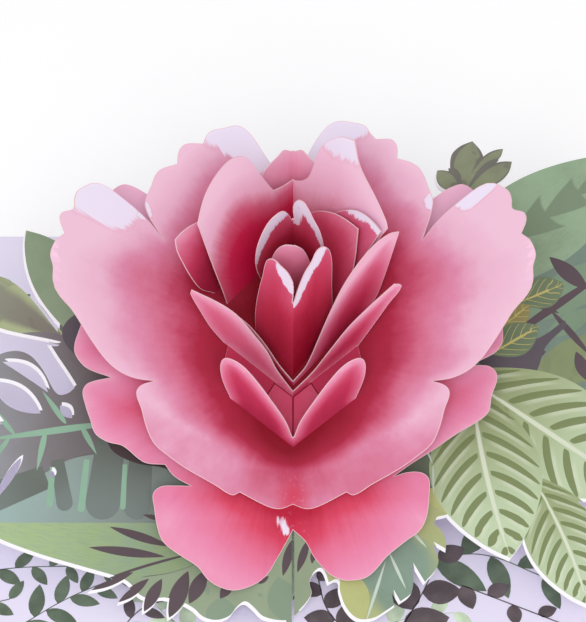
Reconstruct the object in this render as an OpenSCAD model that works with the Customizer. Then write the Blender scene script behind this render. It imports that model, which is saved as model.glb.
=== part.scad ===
// Pop-up greeting card, opened flat, with a layered paper peony and die-cut leaf sprays.
// X runs across the opened card, Y from its near edge to its far edge, and Z is up from the table.
// The flower has its own frame: x across, q along its crease to the back, w up from the crease.

/* [Card] */
// Width of the card, opened flat
card_w = 300; // [290:2:360]
// Depth of the card, along its spine
card_d = 200; // [198:2:240]
// Thickness of the card
card_t = 0.6; // [0.4:0.05:1]
// Width of the scored groove along the spine
groove_w = 1.6; // [1:0.1:3]
// Depth of the scored groove
groove_deep = 0.25; // [0.1:0.05:0.3]

/* [Paper] */
// Thickness of the petal paper
petal_t = 0.4; // [0.25:0.05:0.5]
// Thickness of the leaf paper
leaf_t = 0.4; // [0.25:0.05:0.5]
// Thickness of the strut paper
strut_t = 0.4; // [0.25:0.05:0.5]
// Width of the glue tabs under the petal pairs
tab_w = 4; // [3:0.5:4]
// Gap between neighbouring glue tabs
tab_clear = 0.6; // [0.4:0.1:1]
// Width of the glue tabs under the single petals
small_tab_w = 2.4; // [1.5:0.1:2.6]

/* [Flower] */
// Tilt of the flower towards the viewer
flower_tilt = 20; // [16:1:24]
// Y place of the front end of the crease
flower_y = -53; // [-56:1:-50]
// Height of the front end of the crease above the table
flower_z = 20; // [19:1:28]
// Rise of the main layer's wings on both sides of the crease
fold = 22; // [18:1:25]
// Flat width of a wing, from the crease to where it starts to curl up
flat_run = 45; // [44:1:60]
// Radius of the curl of the main layer
curl_r = 150; // [140:5:300]
// Half width of the main layer
main_reach = 92.5; // [88:0.5:96]
// Length of the main layer behind the front end of the crease
main_length = 159; // [150:0.5:160]
// Half width of the lower layer
lower_reach = 85.5; // [80:0.5:90]
// Width of the lower layer's glued strip, up to its score
lower_score = 12; // [11:0.5:16]
// Rise of the lower layer's wings outside the score
lower_rise = 10; // [7:0.5:14]

/* [Petal pairs] */
// Place of the low front pair along the crease
low_at = 23; // [18:0.5:26]
// Reach of the low front pair along its glued edge
low_reach = 44.8; // [40:0.2:48]
// Height of the low front pair
low_tall = 21.4; // [18:0.2:24]
// Length of the low front pair's glue tabs along its glued edge
low_tab_run = 20; // [16:0.5:24]
// Place of the high front pair along the crease
high_at = 43.5; // [40:0.5:44]
// Reach of the high front pair along its glued edge
high_reach = 62; // [54:0.5:64]
// Height of the high front pair
high_tall = 18.9; // [16:0.1:20]
// Place of the inner front pair along the crease
inner_at = 48; // [47.5:0.5:49]
// Reach of the inner front pair along its glued edge
inner_reach = 73.2; // [68:0.2:74]
// Height of the inner front pair
inner_tall = 27.4; // [24:0.2:28]
// Place of the back pair of tall petals along the crease
tall_at = 110; // [109:0.5:112]
// Reach of the tall petals along their glued edge
tall_reach = 43; // [40:0.5:43]
// Height of the tall petals
tall_tall = 63; // [56:0.5:64]
// Place of the last pair behind the tall petals
last_at = 122; // [121:0.5:124]
// Reach of the last pair along its glued edge
last_reach = 17; // [14:0.5:20]
// Height of the last pair
last_tall = 29.8; // [24:0.2:32]

/* [Heart] */
// Place of the bud's front petals along the crease
bud_at = 52; // [51:0.5:54]
// Reach of the bud's front petals
bud_reach = 47.6; // [42:0.2:48]
// Height of the bud's front petals
bud_tall = 43; // [36:0.5:44]
// Place of the petal in the heart along the crease
heart_at = 76; // [74:0.5:78]
// Height of the petal in the heart
heart_tall = 43; // [38:0.5:44]
// Place of the bud's back petals along the crease
bud_back_at = 98; // [97:0.5:99]
// Height of the bud's back petals
bud_back_tall = 52.2; // [46:0.2:54]

/* [Single petals] */
// Place of the small side petal's line on the crease
small_at = 100; // [99.5:0.5:101]
// Height of the small side petal
small_tall = 39.4; // [34:0.2:41]
// Place of the rimmed side petal's line on the crease
rimmed_at = 105; // [104.5:0.5:106]
// Height of the rimmed side petal
rimmed_tall = 43; // [38:0.2:44]
// Place of the outer side petal's line on the crease
outer_at = 120; // [118:0.5:122]
// Height of the outer side petal
outer_tall = 36.4; // [32:0.2:38]

/* [Leaf sprays] */
// Half width of the leaf sprays
spray_reach = 143; // [134:1:145]
// Width of the sprays' glued strip, up to its score
spray_score = 10; // [8:0.5:11]
// Gap between the two sprays along the crease
spray_gap = 1; // [0.5:0.1:2]

/* [Struts] */
// Y place of the front strut's fold on the spine
strut_front_y = -30; // [-36:1:-24]
// Y place of the rear strut's fold on the spine
strut_rear_y = 52; // [44:1:56]
// Reach of a strut's wing to the side
strut_reach = 44; // [36:1:50]
// Width of the struts' glue tabs
strut_tab_w = 8; // [6:0.5:10]

/* [Hidden] */
big = 400;           // larger than the card, for cutting solids
spare = 3;           // how far a petal's blank runs past the planes that trim it
shoulder = 0.6;      // short straight rim on each side of a pair's fold
curve_steps = 3;     // straight pieces in each span of a drawn curve
arc_steps = 10;      // straight pieces in the curl of the main layer

// Angles of the petal pairs: from the crease along the wing, and back from upright
front_splay = 57;
inner_splay = 48;
front_lean = 25;
bud_splay = 42;
bud_lean = 28;
heart_splay = 75;
heart_lean = 18;
bud_back_splay = 130;
bud_back_lean = 12;
tall_splay = 138;
tall_lean = 45;
last_splay = 120;
last_lean = 40;

// Heights of the pairs' folds, from the crease up
low_fold = 5.6;
high_fold = 3.2;
inner_fold = 2.4;
bud_fold = 40;
heart_fold = 47.5;
bud_back_fold = 36;
tall_fold = 26.5;
last_fold = 28;
// The two front pairs are parallel: the distance between their glued edges, and the shift along them
front_gap = (high_at - low_at) * sin(front_splay);
front_shift = (high_at - low_at) * cos(front_splay);
// Tabs between them: those of the low pair run back along the crease, those of the high pair come forward
low_tab = [tab_clear, low_tab_run];
low_tab_w = front_gap - tab_clear;
low_tab_taper = [low_tab_w / tan(front_splay), 0];
high_tab_start = low_tab_run - front_shift + tab_clear;
high_tab_end = 33;
high_tab_w = front_gap / 2;
high_tab_taper = [0, 3];
// Other glue tabs: from and to, along the glued edge
inner_tab = [25, 36];
bud_tab = [6, 20];
heart_tab = [2, 9];
bud_back_tab = [3, 10];
tall_tab = [4, 38];
last_tab = [2, 14];
side_tab_margin = 0.5;
outer_tab_margin = 2;

// Outlines of the right half, seen from above. A third value of 1 marks a sharp corner.
main_lobes = [
  [0, 0, 1], [5, -2.2], [10, -1.6], [20.5, 3, 1], [23.5, 1.6], [30, 5], [41, 10.5], [48, 15], [53, 19],
  [56, 25], [58, 32], [60, 38], [58.5, 41.3], [53.5, 43.8, 1], [60, 43.8], [66, 45.5], [71, 49],
  [76, 55], [80.5, 61.5], [84, 66.5], [88.5, 71], [91, 76], [91.3, 82], [92.5, 87], [91, 92],
  [87.5, 96.5, 1], [89.3, 101], [88.8, 104.5], [84.8, 107.5], [84.5, 112], [83, 116], [76, 120.6],
  [66, 116], [57, 109], [51, 101.7, 1]];
main_back_right = [
  [55.6, 117], [54, 124], [51, 132.5], [47.5, 136], [42, 138.7, 1], [42, 144], [40, 147.2],
  [33.8, 148.5, 1], [31.5, 151.5], [29.5, 155], [25, 157.2], [18, 159], [13, 156.5], [6, 146], [0, 132, 1]];
main_back_left = [
  [58.5, 115], [56.5, 124], [53.5, 131.5], [46.5, 135.5, 1], [46, 141], [43.5, 144.6], [36.5, 146, 1],
  [34, 151.5], [28, 154.4], [22, 156.3], [17, 153], [10, 143], [0, 132, 1]];
lower_lobes_right = [
  [0, -10, 1], [4.8, -15], [8.1, -21.3], [13.4, -27.7], [18, -30.3], [22.5, -30.9], [27.9, -29.9],
  [31.7, -26.9], [36, -22], [43.6, -16.1], [48.5, -12.5], [51.3, -7], [52.5, 2.4], [52.4, 7.8],
  [49.4, 10.3], [44, 10.5], [38.7, 9, 1], [46, 14], [54, 18.8], [63.5, 25], [72.8, 30.3], [76, 33.6],
  [77.2, 39.7], [79.4, 45.7], [79.1, 49.3], [76, 51.9], [68, 52.2, 1], [75, 55], [80, 58], [82.3, 63]];
lower_lobes_left = [
  [0, -10, 1], [3, -16], [6.5, -22.4], [10.4, -28.9], [16.4, -33], [22.9, -34.7], [28.6, -33.3],
  [32.8, -30.5], [36.5, -26], [43.9, -21.4], [49.6, -16.9], [52, -11], [53.4, -3], [53.8, 1.8],
  [51, 4.6], [46, 5.2], [39.4, 5.3, 1], [46, 9], [49.5, 13.4, 1], [57.5, 14], [65.7, 20], [71.6, 21.4],
  [76.4, 24.5], [78.5, 30], [80.6, 36], [81.7, 41.5], [79.5, 44.8], [71, 47.4, 1], [80, 50.5],
  [83.8, 54], [85.5, 58], [84.5, 64]];
lower_back = [
  [80, 74], [66, 80, 1], [76, 89], [80, 104], [76.5, 119], [72, 126.2], [67, 128.5], [57, 123.5],
  [46, 113, 1], [49, 123], [42, 135], [30, 143], [18, 143], [8, 136], [0, 126, 1]];

// Outlines of standing petals: along the glued edge, and up the petal, from the fold to the edge's end
low_rim = [[10, 10.2], [20, 15.2], [30.5, 19.6], [38.5, 21.4], [44, 19.4], [44.8, 15.6], [41.5, 9.2],
           [36.5, 4], [31.3, 0, 1]];
high_rim_left = [[12.2, 6.9], [20.6, 12.4], [29.4, 15.8], [39, 18.9], [47, 18.2], [59, 13.8, 1],
                 [58, 11.4], [50.2, 6.4], [43, 2.4], [35, 0, 1]];
high_rim_right = [[12.7, 4.6], [24.4, 9], [36, 13.2], [48, 15.4], [60.5, 16.8, 1], [62, 13], [53.8, 9.4],
                  [42, 4], [33, 0, 1]];
inner_rim_right = [[9.7, 3], [24, 12], [32.4, 17.4], [42.8, 23.2], [53.4, 26.6], [63, 27.4], [70, 25.2],
                   [73.2, 21.4, 1], [65, 14.2], [58, 8.2], [50, 2], [46, 0, 1]];
inner_rim_left = [[10, 3], [20, 6], [30, 7], [38, 4.5], [42, 0, 1]];
bud_rim_left = [[28, 40.5], [33, 43], [37, 42.3], [40.8, 41], [42, 37], [38.5, 28], [34.5, 18], [29, 7],
                [24, 0, 1]];
bud_rim_right = [[29, 36.6], [35, 39.6], [39.7, 40.6], [44.2, 42.4], [47, 40.8], [47.6, 36.5], [45, 30],
                 [39, 21], [31, 8.5], [25, 0, 1]];
heart_rim_left = [[23, 41.5], [24.3, 37.5], [23.5, 30], [20, 18], [15, 6], [12, 0, 1]];
heart_rim_right = [[21.5, 41.5], [22.4, 38], [21.5, 31], [19, 20], [15, 8], [11, 0, 1]];
bud_back_rim_left = [[9, 42], [12.4, 46], [16.5, 46.4], [20, 44.4], [22.8, 39], [24.3, 31.5],
                     [23.4, 21], [19.5, 9.4], [14, 0, 1]];
bud_back_rim_right = [[6.5, 44], [9.5, 50.4], [13, 52.2], [15.5, 49.4], [17.5, 45], [20, 40], [21, 33],
                      [20.4, 20], [18, 9], [14, 0, 1]];
tall_rim_left = [[-4, 25.8], [1.9, 27.8, 1], [3.8, 32.7], [6, 39.5], [8.8, 48.6], [12.4, 53.6],
                 [18, 56], [24, 55.8], [30, 54], [35, 51.2], [39.2, 47.2], [42.6, 43, 1], [42.6, 35],
                 [42.4, 20], [42, 8], [42, 0, 1]];
tall_rim_right = [[-5, 27.5], [-2, 32], [-1.2, 38], [-0.8, 46], [1.2, 51.8], [4.2, 56], [8.1, 60],
                  [14.4, 63, 1], [16.3, 60.4], [19.6, 56.2], [23.5, 53.3], [32.3, 48.8], [41, 43.4],
                  [43, 41, 1], [41, 34], [40.4, 20], [40, 8], [39.5, 0, 1]];
last_rim = [[2.3, 29.8], [5.5, 28.2], [9, 26.4], [14, 22.4], [17, 15], [17, 6], [16, 0, 1]];
small_rim = [[22, 0, 1], [15, 12], [6, 22], [0.8, 27.6, 1], [4.7, 31.7], [11.7, 36.2], [18.4, 38.4],
             [25.8, 39.4, 1], [29.5, 24], [30, 10], [29, 0, 1]];
rimmed_rim = [[24, 0, 1], [18, 12], [14, 24], [14.2, 31.5], [19.3, 37.7], [23.9, 41.2], [28.7, 42.8],
              [34.3, 43], [38.5, 42.2, 1], [37, 35.5], [34.6, 25], [31, 10], [29.5, 0, 1]];
outer_rim = [[36, 0, 1], [34, 8], [36, 23], [42, 32], [49, 35.4], [55, 36.4], [59.2, 36, 1],
             [60.1, 31], [59.5, 24], [58, 14.5], [55.5, 6.5], [50, 0, 1]];

// Outlines of the sprays, seen from above: from the front end of the glued strip round to its back end
spray_left = [
  [0, -46, 1], [6, -46.6], [12, -45.4], [16, -41.6], [19, -39.7], [22, -41.6], [25, -45.2], [30, -46.8],
  [35, -45.5], [38.5, -42.4], [43, -40], [50, -38.2], [55, -38.8], [59.5, -37], [62.5, -33.4],
  [66, -30.9], [80, -26.7], [100, -20.8], [118, -13.5], [128, -6], [133, 4], [137, 15], [141, 25],
  [142, 34], [138, 44], [128, 53.5], [118, 59.6], [111, 61.6], [105, 60], [99.5, 54], [95, 46],
  [92.5, 43.6], [89, 44.2], [86.4, 46.4, 1], [90, 52], [94, 57.8], [98, 64, 1], [93.8, 63.6],
  [92.4, 65.6], [94, 69.5], [93, 73.6], [89, 77], [82, 82], [74, 90], [60, 104], [42, 116], [20, 122],
  [0, 118, 1]];
spray_right = [
  [0, -44, 1], [3, -41.2], [5.2, -38.6], [7, -35], [6.2, -31], [7.4, -28.2], [10, -26.7], [11.6, -28.2],
  [13, -32.4, 1], [16.8, -31.2], [17.2, -35], [19.4, -41.6], [24, -46.2], [30, -46], [34.6, -43.4],
  [38.7, -40.6, 1], [37.8, -35, 1], [40.4, -39.7, 1], [44.6, -36.4], [46.2, -31], [45.6, -24.8, 1],
  [49.9, -32.2, 1], [54, -27.6], [56, -22.4], [53.6, -16.6, 1], [58.7, -19.6, 1], [59, -15],
  [57.2, -10.6], [54.6, -7.6], [58, -6.2], [63, -4.6], [80, 4], [100, 16], [122, 34], [134, 50],
  [138, 70], [138, 92], [130, 106], [112, 114], [90, 122], [74, 121], [58, 116], [40, 119], [20, 122],
  [0, 118, 1]];
// Leaves beside the sprays: foot, tip, half width, widest place from foot to tip, bow of the midrib
leaves_left = [[[74, 50], [109, 113], 12, 0.6, -3], [[87, 62], [137, 93], 10.5, 0.64, 0]];
leaflets_left = [[[62, -28.5], [79, -35.5], 1.6, 0.5, 0], [[56, -31], [67.4, -40], 1.8, 0.5, 0],
                 [[51, -31], [57.6, -43.6], 2.4, 0.5, 0], [[41, -28], [48, -46], 3.3, 0.5, 0.4]];
leaves_right = [[[60, 88], [143, 147], 20, 0.45, 0], [[60, 72], [141, 104], 19, 0.5, 2],
                [[62, 60], [139, 64], 14, 0.5, -2]];
oval_leaves_right = [[[70, 46], [83, -23], 22, 0.5, 2], [[64, 52], [134, 3], 23, 0.52, 0],
                     [[92, 10], [112, -41], 15, 0.5, -2]];
sprig_right = [[[64, 112], [74, 152], 7.4, 0.74, 0], [[72, 136], [86.6, 148.6], 2.8, 0.6, 0],
               [[68, 126], [90, 143], 4.5, 0.62, 0], [[69, 126], [59, 139], 4.6, 0.62, 0]];
// Slots of the split leaf, drawn as leaves are
slots_left = [[[115.5, 57], [97, 44.6], 2.3, 0.5, 2.4], [[120, 49], [99.5, 36], 4.3, 0.5, 0],
              [[92, 39.2], [87, 34], 1.9, 0.5, 0], [[126, 36.5], [114.6, 31.6], 2.2, 0.5, 0],
              [[106.4, 18], [116.5, 0.5], 1.7, 0.42, 0], [[94.6, 13], [93.4, 9.6], 0.9, 0.5, 0]];
drawn_reach = 143;   // half width of the sprays as drawn above
leaf_steps = 14;     // straight pieces on each side of a leaf
leaf_round = 0.85;   // roundness of a leaf's sides: 1 is a plain sine
strut_turn = 55;     // angle of a strut's wings from the spine

petal_pink = "#d6799f";
petal_deep = "#b0304f";
petal_pale = "#ecbcd6";
card_lilac = "#e5e0f3";
leaf_green = "#8ba77f";
leaf_olive = "#a5b376";

// Drawn curves
function is_corner(p) = len(p) > 2;
function flat2(p) = [p[0], p[1]];
function unit(v) = v / norm(v);
function heading(p, i, step) =
  let (last = len(p) - 1, sharp = is_corner(p[i]) || i == 0 || i == last,
       a = flat2(p[sharp && step > 0 ? i : max(i - 1, 0)]),
       b = flat2(p[sharp && step < 0 ? i : min(i + 1, last)]))
  unit(b - a);
function span_at(p, i, t) =
  let (a = flat2(p[i]), b = flat2(p[i + 1]), len_ab = norm(b - a),
       ta = heading(p, i, 1) * len_ab, tb = heading(p, i + 1, -1) * len_ab)
  a * (2 * t ^ 3 - 3 * t ^ 2 + 1) + ta * (t ^ 3 - 2 * t ^ 2 + t)
    + b * (3 * t ^ 2 - 2 * t ^ 3) + tb * (t ^ 3 - t ^ 2);
function curve(p) = concat(
  [for (i = [0:len(p) - 2]) for (k = [0:curve_steps - 1]) span_at(p, i, k / curve_steps)],
  [flat2(p[len(p) - 1])]);
function turned(p) = [for (i = [len(p) - 1:-1:0]) p[i]];
function run_on(p) = let (last = len(p) - 1, end = p[last], way = unit(end - p[last - 1]))
  concat([for (i = [0:last - 1]) p[i]], [end + spare * way]);
function flipped(p) = [for (i = [len(p) - 1:-1:0]) [-p[i][0], p[i][1]]];
function resized(p, sx, sy) = [for (q = p) concat([q[0] * sx, q[1] * sy], is_corner(q) ? [1] : [])];
function widest(p) = max([for (q = p) q[0]]);
function tallest(p) = max([for (q = p) q[1]]);

// Surfaces of the layers, as lines in the x, w section of the right half
function wing_point(a, depth) = [a * cos(fold) + depth * sin(fold), a * sin(fold) - depth * cos(fold)];
function crease_point(depth) = [0, -depth / cos(fold)];
function main_line(depth) = let (
    r = curl_r + depth,
    flat_end = [flat_run, flat_run * tan(fold)],
    centre = flat_end + curl_r * [-sin(fold), cos(fold)],
    sweep = (main_reach - flat_run) / curl_r * 90)
  concat([crease_point(depth)],
         [for (i = [0:arc_steps]) let (t = fold + sweep * i / arc_steps) centre + r * [sin(t), -cos(t)]]);
function scored_line(depth, top_depth, score, rise, reach) = let (
    bend = (fold - rise) / 2,
    down = [sin(fold - bend), -cos(fold - bend)],
    knee = wing_point(score, top_depth) + (depth - top_depth) / cos(bend) * down)
  [crease_point(depth), knee, knee + reach * [cos(rise), sin(rise)]];
function lower_line(depth) = scored_line(petal_t + depth, petal_t, lower_score, lower_rise, lower_reach);
spray_depth = 2 * petal_t;
function spray_line(depth) = scored_line(spray_depth + depth, spray_depth, spray_score, 0, spray_reach);
function both_sides(line) = concat(flipped(line), [for (i = [1:len(line) - 1]) line[i]]);
function band(top, bottom) = concat(top, turned(bottom));

// Placing
module in_flower() {
  translate([0, flower_y, flower_z]) rotate([flower_tilt, 0, 0]) children();
}
module along_crease() {
  translate([0, big / 2, 0]) rotate([90, 0, 0]) linear_extrude(big) children();
}
module on_wing() {
  rotate([0, -fold, 0]) children();
}
module through_sheet() {
  translate([0, 0, -big / 2]) linear_extrude(big) children();
}

// A petal's own plane: its glued edge runs along the wing, and its fold leans back over the crease
wing_up = [-sin(fold), 0, cos(fold)];
function edge_dir(splay) = [sin(splay) * cos(fold), cos(splay), sin(splay) * sin(fold)];
function fold_dir(lean) = [0, sin(lean), cos(lean)];
function fold_turn(splay, lean) = acos(edge_dir(splay) * fold_dir(lean));
function front_dir(splay, lean) = unit(cross(edge_dir(splay), fold_dir(lean)));
function rise_dir(splay, lean) = cross(front_dir(splay, lean), edge_dir(splay));
// Lean of a petal from the wing's normal, towards its glue tab
function tab_lean(splay, lean) = let (rise = rise_dir(splay, lean))
  atan2(rise * cross(wing_up, edge_dir(splay)), rise * wing_up);
module on_petal(at, splay, lean) {
  e1 = edge_dir(splay);
  e2 = rise_dir(splay, lean);
  e3 = front_dir(splay, lean);
  multmatrix([[e1[0], e2[0], e3[0], 0], [e1[1], e2[1], e3[1], at], [e1[2], e2[2], e3[2], 0], [0, 0, 0, 1]])
    children();
}
module above_wing() {
  along_crease() polygon([[0, 0], big * [cos(fold), sin(fold)], big * [cos(fold), 1], [0, big]]);
}
module petal_blank(outline) {
  translate([0, 0, -petal_t]) linear_extrude(petal_t) polygon(outline);
}
// A glue tab starts halfway into the petal's thickness and lies on the wing behind it, or before it if
// its width is negative. Its two ends draw in by the taper.
module tab(at, splay, lean, span, wide, taper) {
  along = [sin(splay), cos(splay)];
  inward = [-cos(splay), sin(splay)];
  over = tab_lean(splay, lean);
  front = [0, at] + inward * petal_t * (tan(over) + 1 / cos(over)) / 2;
  back = [0, at] + inward * wide;
  on_wing() translate([0, 0, -spare]) linear_extrude(petal_t + spare) polygon([
    front + along * span[0], front + along * span[1],
    back + along * (span[1] - taper[1]), back + along * (span[0] + taper[0])]);
}

// One wing of a folded pair: the blank and its tab run past the fold and the wing, which trim them
module wing(at, splay, lean, fold_tall, rim, tab_span, tab_wide, taper) {
  turn = fold_turn(splay, lean);
  top = fold_tall * [cos(turn), sin(turn)];
  line = curve(concat([[top[0] + shoulder, top[1], 1]], rim));
  outline = concat([top - [spare, 0]], run_on(line), [[min(0, top[0]) - spare, -spare]]);
  intersection() {
    above_wing();
    union() {
      on_petal(at, splay, lean) petal_blank(outline);
      tab(at, splay, lean, tab_span, tab_wide, taper);
    }
  }
}
module pair(at, splay, lean, fold_tall, rim_right, rim_left, tab_span,
            tab_wide = tab_w, taper = [tab_w / 2, tab_w / 2]) {
  wing(at, splay, lean, fold_tall, rim_right, tab_span, tab_wide, taper);
  mirror([1, 0, 0]) wing(at, splay, lean, fold_tall, rim_left, tab_span, tab_wide, taper);
}
module single(at, splay, lean, rim, tab_margin, wide) {
  line = curve(rim);
  start = line[0];
  end = line[len(line) - 1];
  intersection() {
    above_wing();
    union() {
      on_petal(at, splay, lean) petal_blank(run_on(turned(run_on(line))));
      tab(at, splay, lean, [start[0] + tab_margin, end[0] - tab_margin], wide, [wide / 2, wide / 2]);
    }
  }
}

// A creased sheet: a thin bent section along the crease, cut to an outline seen from above
module creased_sheet(top, bottom, right_half, left_half) {
  intersection() {
    along_crease() polygon(band(both_sides(top), both_sides(bottom)));
    through_sheet() polygon(concat(curve(right_half), flipped(curve(left_half))));
  }
}

// Leaves, drawn flat
function leaf_side(leaf, side) = let (
    foot = leaf[0],
    way = leaf[1] - leaf[0],
    across = unit([way[1], -way[0]]),
    power = ln(0.5) / ln(leaf[3]))
  [for (i = [0:leaf_steps]) let (u = i / leaf_steps, half = leaf[2] * sin(180 * u ^ power) ^ leaf_round)
    foot + way * u + across * (4 * leaf[4] * u * (1 - u) + side * half)];
function leaf_outline(leaf) = let (right = leaf_side(leaf, 1), left = leaf_side(leaf, -1))
  concat(right, [for (i = [leaf_steps - 1:-1:1]) left[i]]);
module leaf(shape) {
  polygon(leaf_outline(shape));
}

// A spray: a flat sheet with a scored, glued strip at the crease, cut to its leaves
module spray(outline, leaves, slots) {
  stretch = spray_reach / drawn_reach;
  intersection() {
    along_crease() polygon(band(spray_line(0), spray_line(leaf_t)));
    through_sheet() intersection() {
      scale([stretch, stretch]) difference() {
        union() {
          polygon(curve(outline));
          for (shape = leaves) leaf(shape);
        }
        for (slot = slots) leaf(slot);
      }
      translate([spray_gap / 2, -big / 2]) square(big);
    }
  }
}

// Struts: folded walls from the card up to the underside of the sprays
module under_sprays(depth) {
  line = both_sides(spray_line(leaf_t));
  floor_line = depth > 0 ? both_sides(spray_line(leaf_t + depth)) : [[-big, -big], [big, -big]];
  in_flower() along_crease() polygon(band(line, floor_line));
}
module strut_wall(fold_y, side) {
  run = strut_reach / sin(strut_turn);
  wall = strut_t / sin(strut_turn);
  polygon([[0, fold_y], [strut_reach, fold_y + side * run * cos(strut_turn)],
           [strut_reach, fold_y + side * (run * cos(strut_turn) + wall)], [0, fold_y + side * wall]]);
}
module strut_tab(fold_y, side) {
  along = [sin(strut_turn), side * cos(strut_turn)];
  inward = [cos(strut_turn), -side * sin(strut_turn)];
  foot = [0, fold_y];
  run = strut_reach / sin(strut_turn);
  start = foot + along * (spray_score + strut_tab_w);
  end = foot + along * run;
  polygon([start, end, end + inward * strut_tab_w - along * strut_tab_w, start + inward * strut_tab_w,
           start + along * strut_t]);
}
module strut(fold_y, side) {
  for (flip = [0, 1]) mirror([flip, 0, 0]) {
    intersection() {
      translate([0, 0, card_t]) linear_extrude(big) strut_wall(fold_y, side);
      under_sprays(0);
    }
    translate([0, 0, card_t]) linear_extrude(strut_t) strut_tab(fold_y, side);
    intersection() {
      translate([0, 0, card_t]) linear_extrude(big) strut_tab(fold_y, side);
      under_sprays(strut_t);
    }
  }
}

// The pieces
module card_cover() {
  color(card_lilac) difference() {
    translate([-card_w / 2, -card_d / 2, 0]) cube([card_w, card_d, card_t]);
    translate([0, card_d, 0]) rotate([90, 0, 0]) linear_extrude(2 * card_d)
      polygon([[0, card_t - groove_deep], [groove_w / 2, card_t], [groove_w / 2, 2 * card_t],
               [-groove_w / 2, 2 * card_t], [-groove_w / 2, card_t]]);
  }
}
module strut_front() {
  color(card_lilac) strut(strut_front_y, 1);
}
module strut_rear() {
  color(card_lilac) strut(strut_rear_y, -1);
}
module foliage_left() {
  color(leaf_green) in_flower() mirror([1, 0, 0])
    spray(spray_left, concat(leaves_left, leaflets_left), slots_left);
}
module foliage_right() {
  color(leaf_olive) in_flower()
    spray(spray_right, concat(leaves_right, oval_leaves_right, sprig_right), []);
}
module petals_lower() {
  sx = lower_reach / widest(lower_lobes_left);
  right = resized(concat(lower_lobes_right, lower_back), sx, 1);
  left = resized(concat(lower_lobes_left, lower_back), sx, 1);
  color(petal_pink) in_flower() creased_sheet(lower_line(0), lower_line(petal_t), right, left);
}
module petals_main() {
  sx = main_reach / widest(main_lobes);
  sy = main_length / tallest(main_back_right);
  right = resized(concat(main_lobes, main_back_right), sx, sy);
  left = resized(concat(main_lobes, main_back_left), sx, sy);
  color(petal_pale) in_flower() creased_sheet(main_line(0), main_line(petal_t), right, left);
}
module front_pair_low() {
  rim = resized(low_rim, low_reach / widest(low_rim), low_tall / tallest(low_rim));
  color(petal_pink) in_flower()
    pair(low_at, front_splay, front_lean, low_fold, rim, rim, low_tab, low_tab_w, low_tab_taper);
}
module front_pair_high() {
  sx = high_reach / widest(high_rim_right);
  sy = high_tall / tallest(high_rim_left);
  right = resized(high_rim_right, sx, sy);
  left = resized(high_rim_left, sx, sy);
  span = [high_tab_start, sx * high_tab_end];
  color(petal_pink) in_flower()
    pair(high_at, front_splay, front_lean, high_fold, right, left, span, -high_tab_w, high_tab_taper);
}
module inner_pair_front() {
  sx = inner_reach / widest(inner_rim_right);
  sy = inner_tall / tallest(inner_rim_right);
  right = resized(inner_rim_right, sx, sy);
  left = resized(inner_rim_left, sx, sy);
  color(petal_pink) in_flower() pair(inner_at, inner_splay, front_lean, inner_fold, right, left, inner_tab);
}
module bud_front() {
  sx = bud_reach / widest(bud_rim_right);
  sy = bud_tall / tallest(bud_rim_left);
  right = resized(bud_rim_right, sx, sy);
  left = resized(bud_rim_left, sx, sy);
  color(petal_deep) in_flower() pair(bud_at, bud_splay, bud_lean, bud_fold, right, left, bud_tab);
}
module bud_heart() {
  sy = heart_tall / (heart_fold * sin(fold_turn(heart_splay, heart_lean)));
  right = resized(heart_rim_right, 1, sy);
  left = resized(heart_rim_left, 1, sy);
  color(petal_pink) in_flower()
    pair(heart_at, heart_splay, heart_lean, heart_fold * sy, right, left, heart_tab);
}
module bud_back() {
  sy = bud_back_tall / tallest(bud_back_rim_right);
  right = resized(bud_back_rim_right, 1, sy);
  left = resized(bud_back_rim_left, 1, sy);
  color(petal_deep) in_flower()
    pair(bud_back_at, bud_back_splay, bud_back_lean, bud_back_fold, right, left, bud_back_tab);
}
module side_petal_small() {
  rim = resized(small_rim, 1, small_tall / tallest(small_rim));
  color(petal_deep) in_flower() single(small_at, tall_splay, tall_lean, rim, side_tab_margin, small_tab_w);
}
module side_petal_rimmed() {
  rim = resized(rimmed_rim, 1, rimmed_tall / tallest(rimmed_rim));
  color(petal_pink) in_flower() single(rimmed_at, tall_splay, tall_lean, rim, side_tab_margin, small_tab_w);
}
module side_petal_outer() {
  rim = resized(outer_rim, 1, outer_tall / tallest(outer_rim));
  color(petal_deep) in_flower() mirror([1, 0, 0])
    single(outer_at, tall_splay, tall_lean, rim, outer_tab_margin, tab_w);
}
module inner_pair_back() {
  sx = tall_reach / widest(tall_rim_right);
  sy = tall_tall / tallest(tall_rim_right);
  right = resized(tall_rim_right, sx, sy);
  left = resized(tall_rim_left, sx, sy);
  color(petal_pale) in_flower() pair(tall_at, tall_splay, tall_lean, tall_fold, right, left, tall_tab);
}
module back_pair() {
  rim = resized(last_rim, last_reach / widest(last_rim), last_tall / tallest(last_rim));
  color(petal_pink) in_flower() pair(last_at, last_splay, last_lean, last_fold, rim, rim, last_tab);
}

card_cover();
strut_front();
strut_rear();
foliage_left();
foliage_right();
petals_lower();
petals_main();
front_pair_low();
front_pair_high();
inner_pair_front();
bud_front();
bud_heart();
bud_back();
side_petal_small();
side_petal_rimmed();
side_petal_outer();
inner_pair_back();
back_pair();
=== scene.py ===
"""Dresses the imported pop-up card: painted petals, printed leaf sprays and a printed inside."""
import math

import bmesh
import bpy
import numpy as np
from bpy.props import FloatProperty, FloatVectorProperty, PointerProperty
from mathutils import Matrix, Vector
from mathutils.geometry import delaunay_2d_cdt


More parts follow.
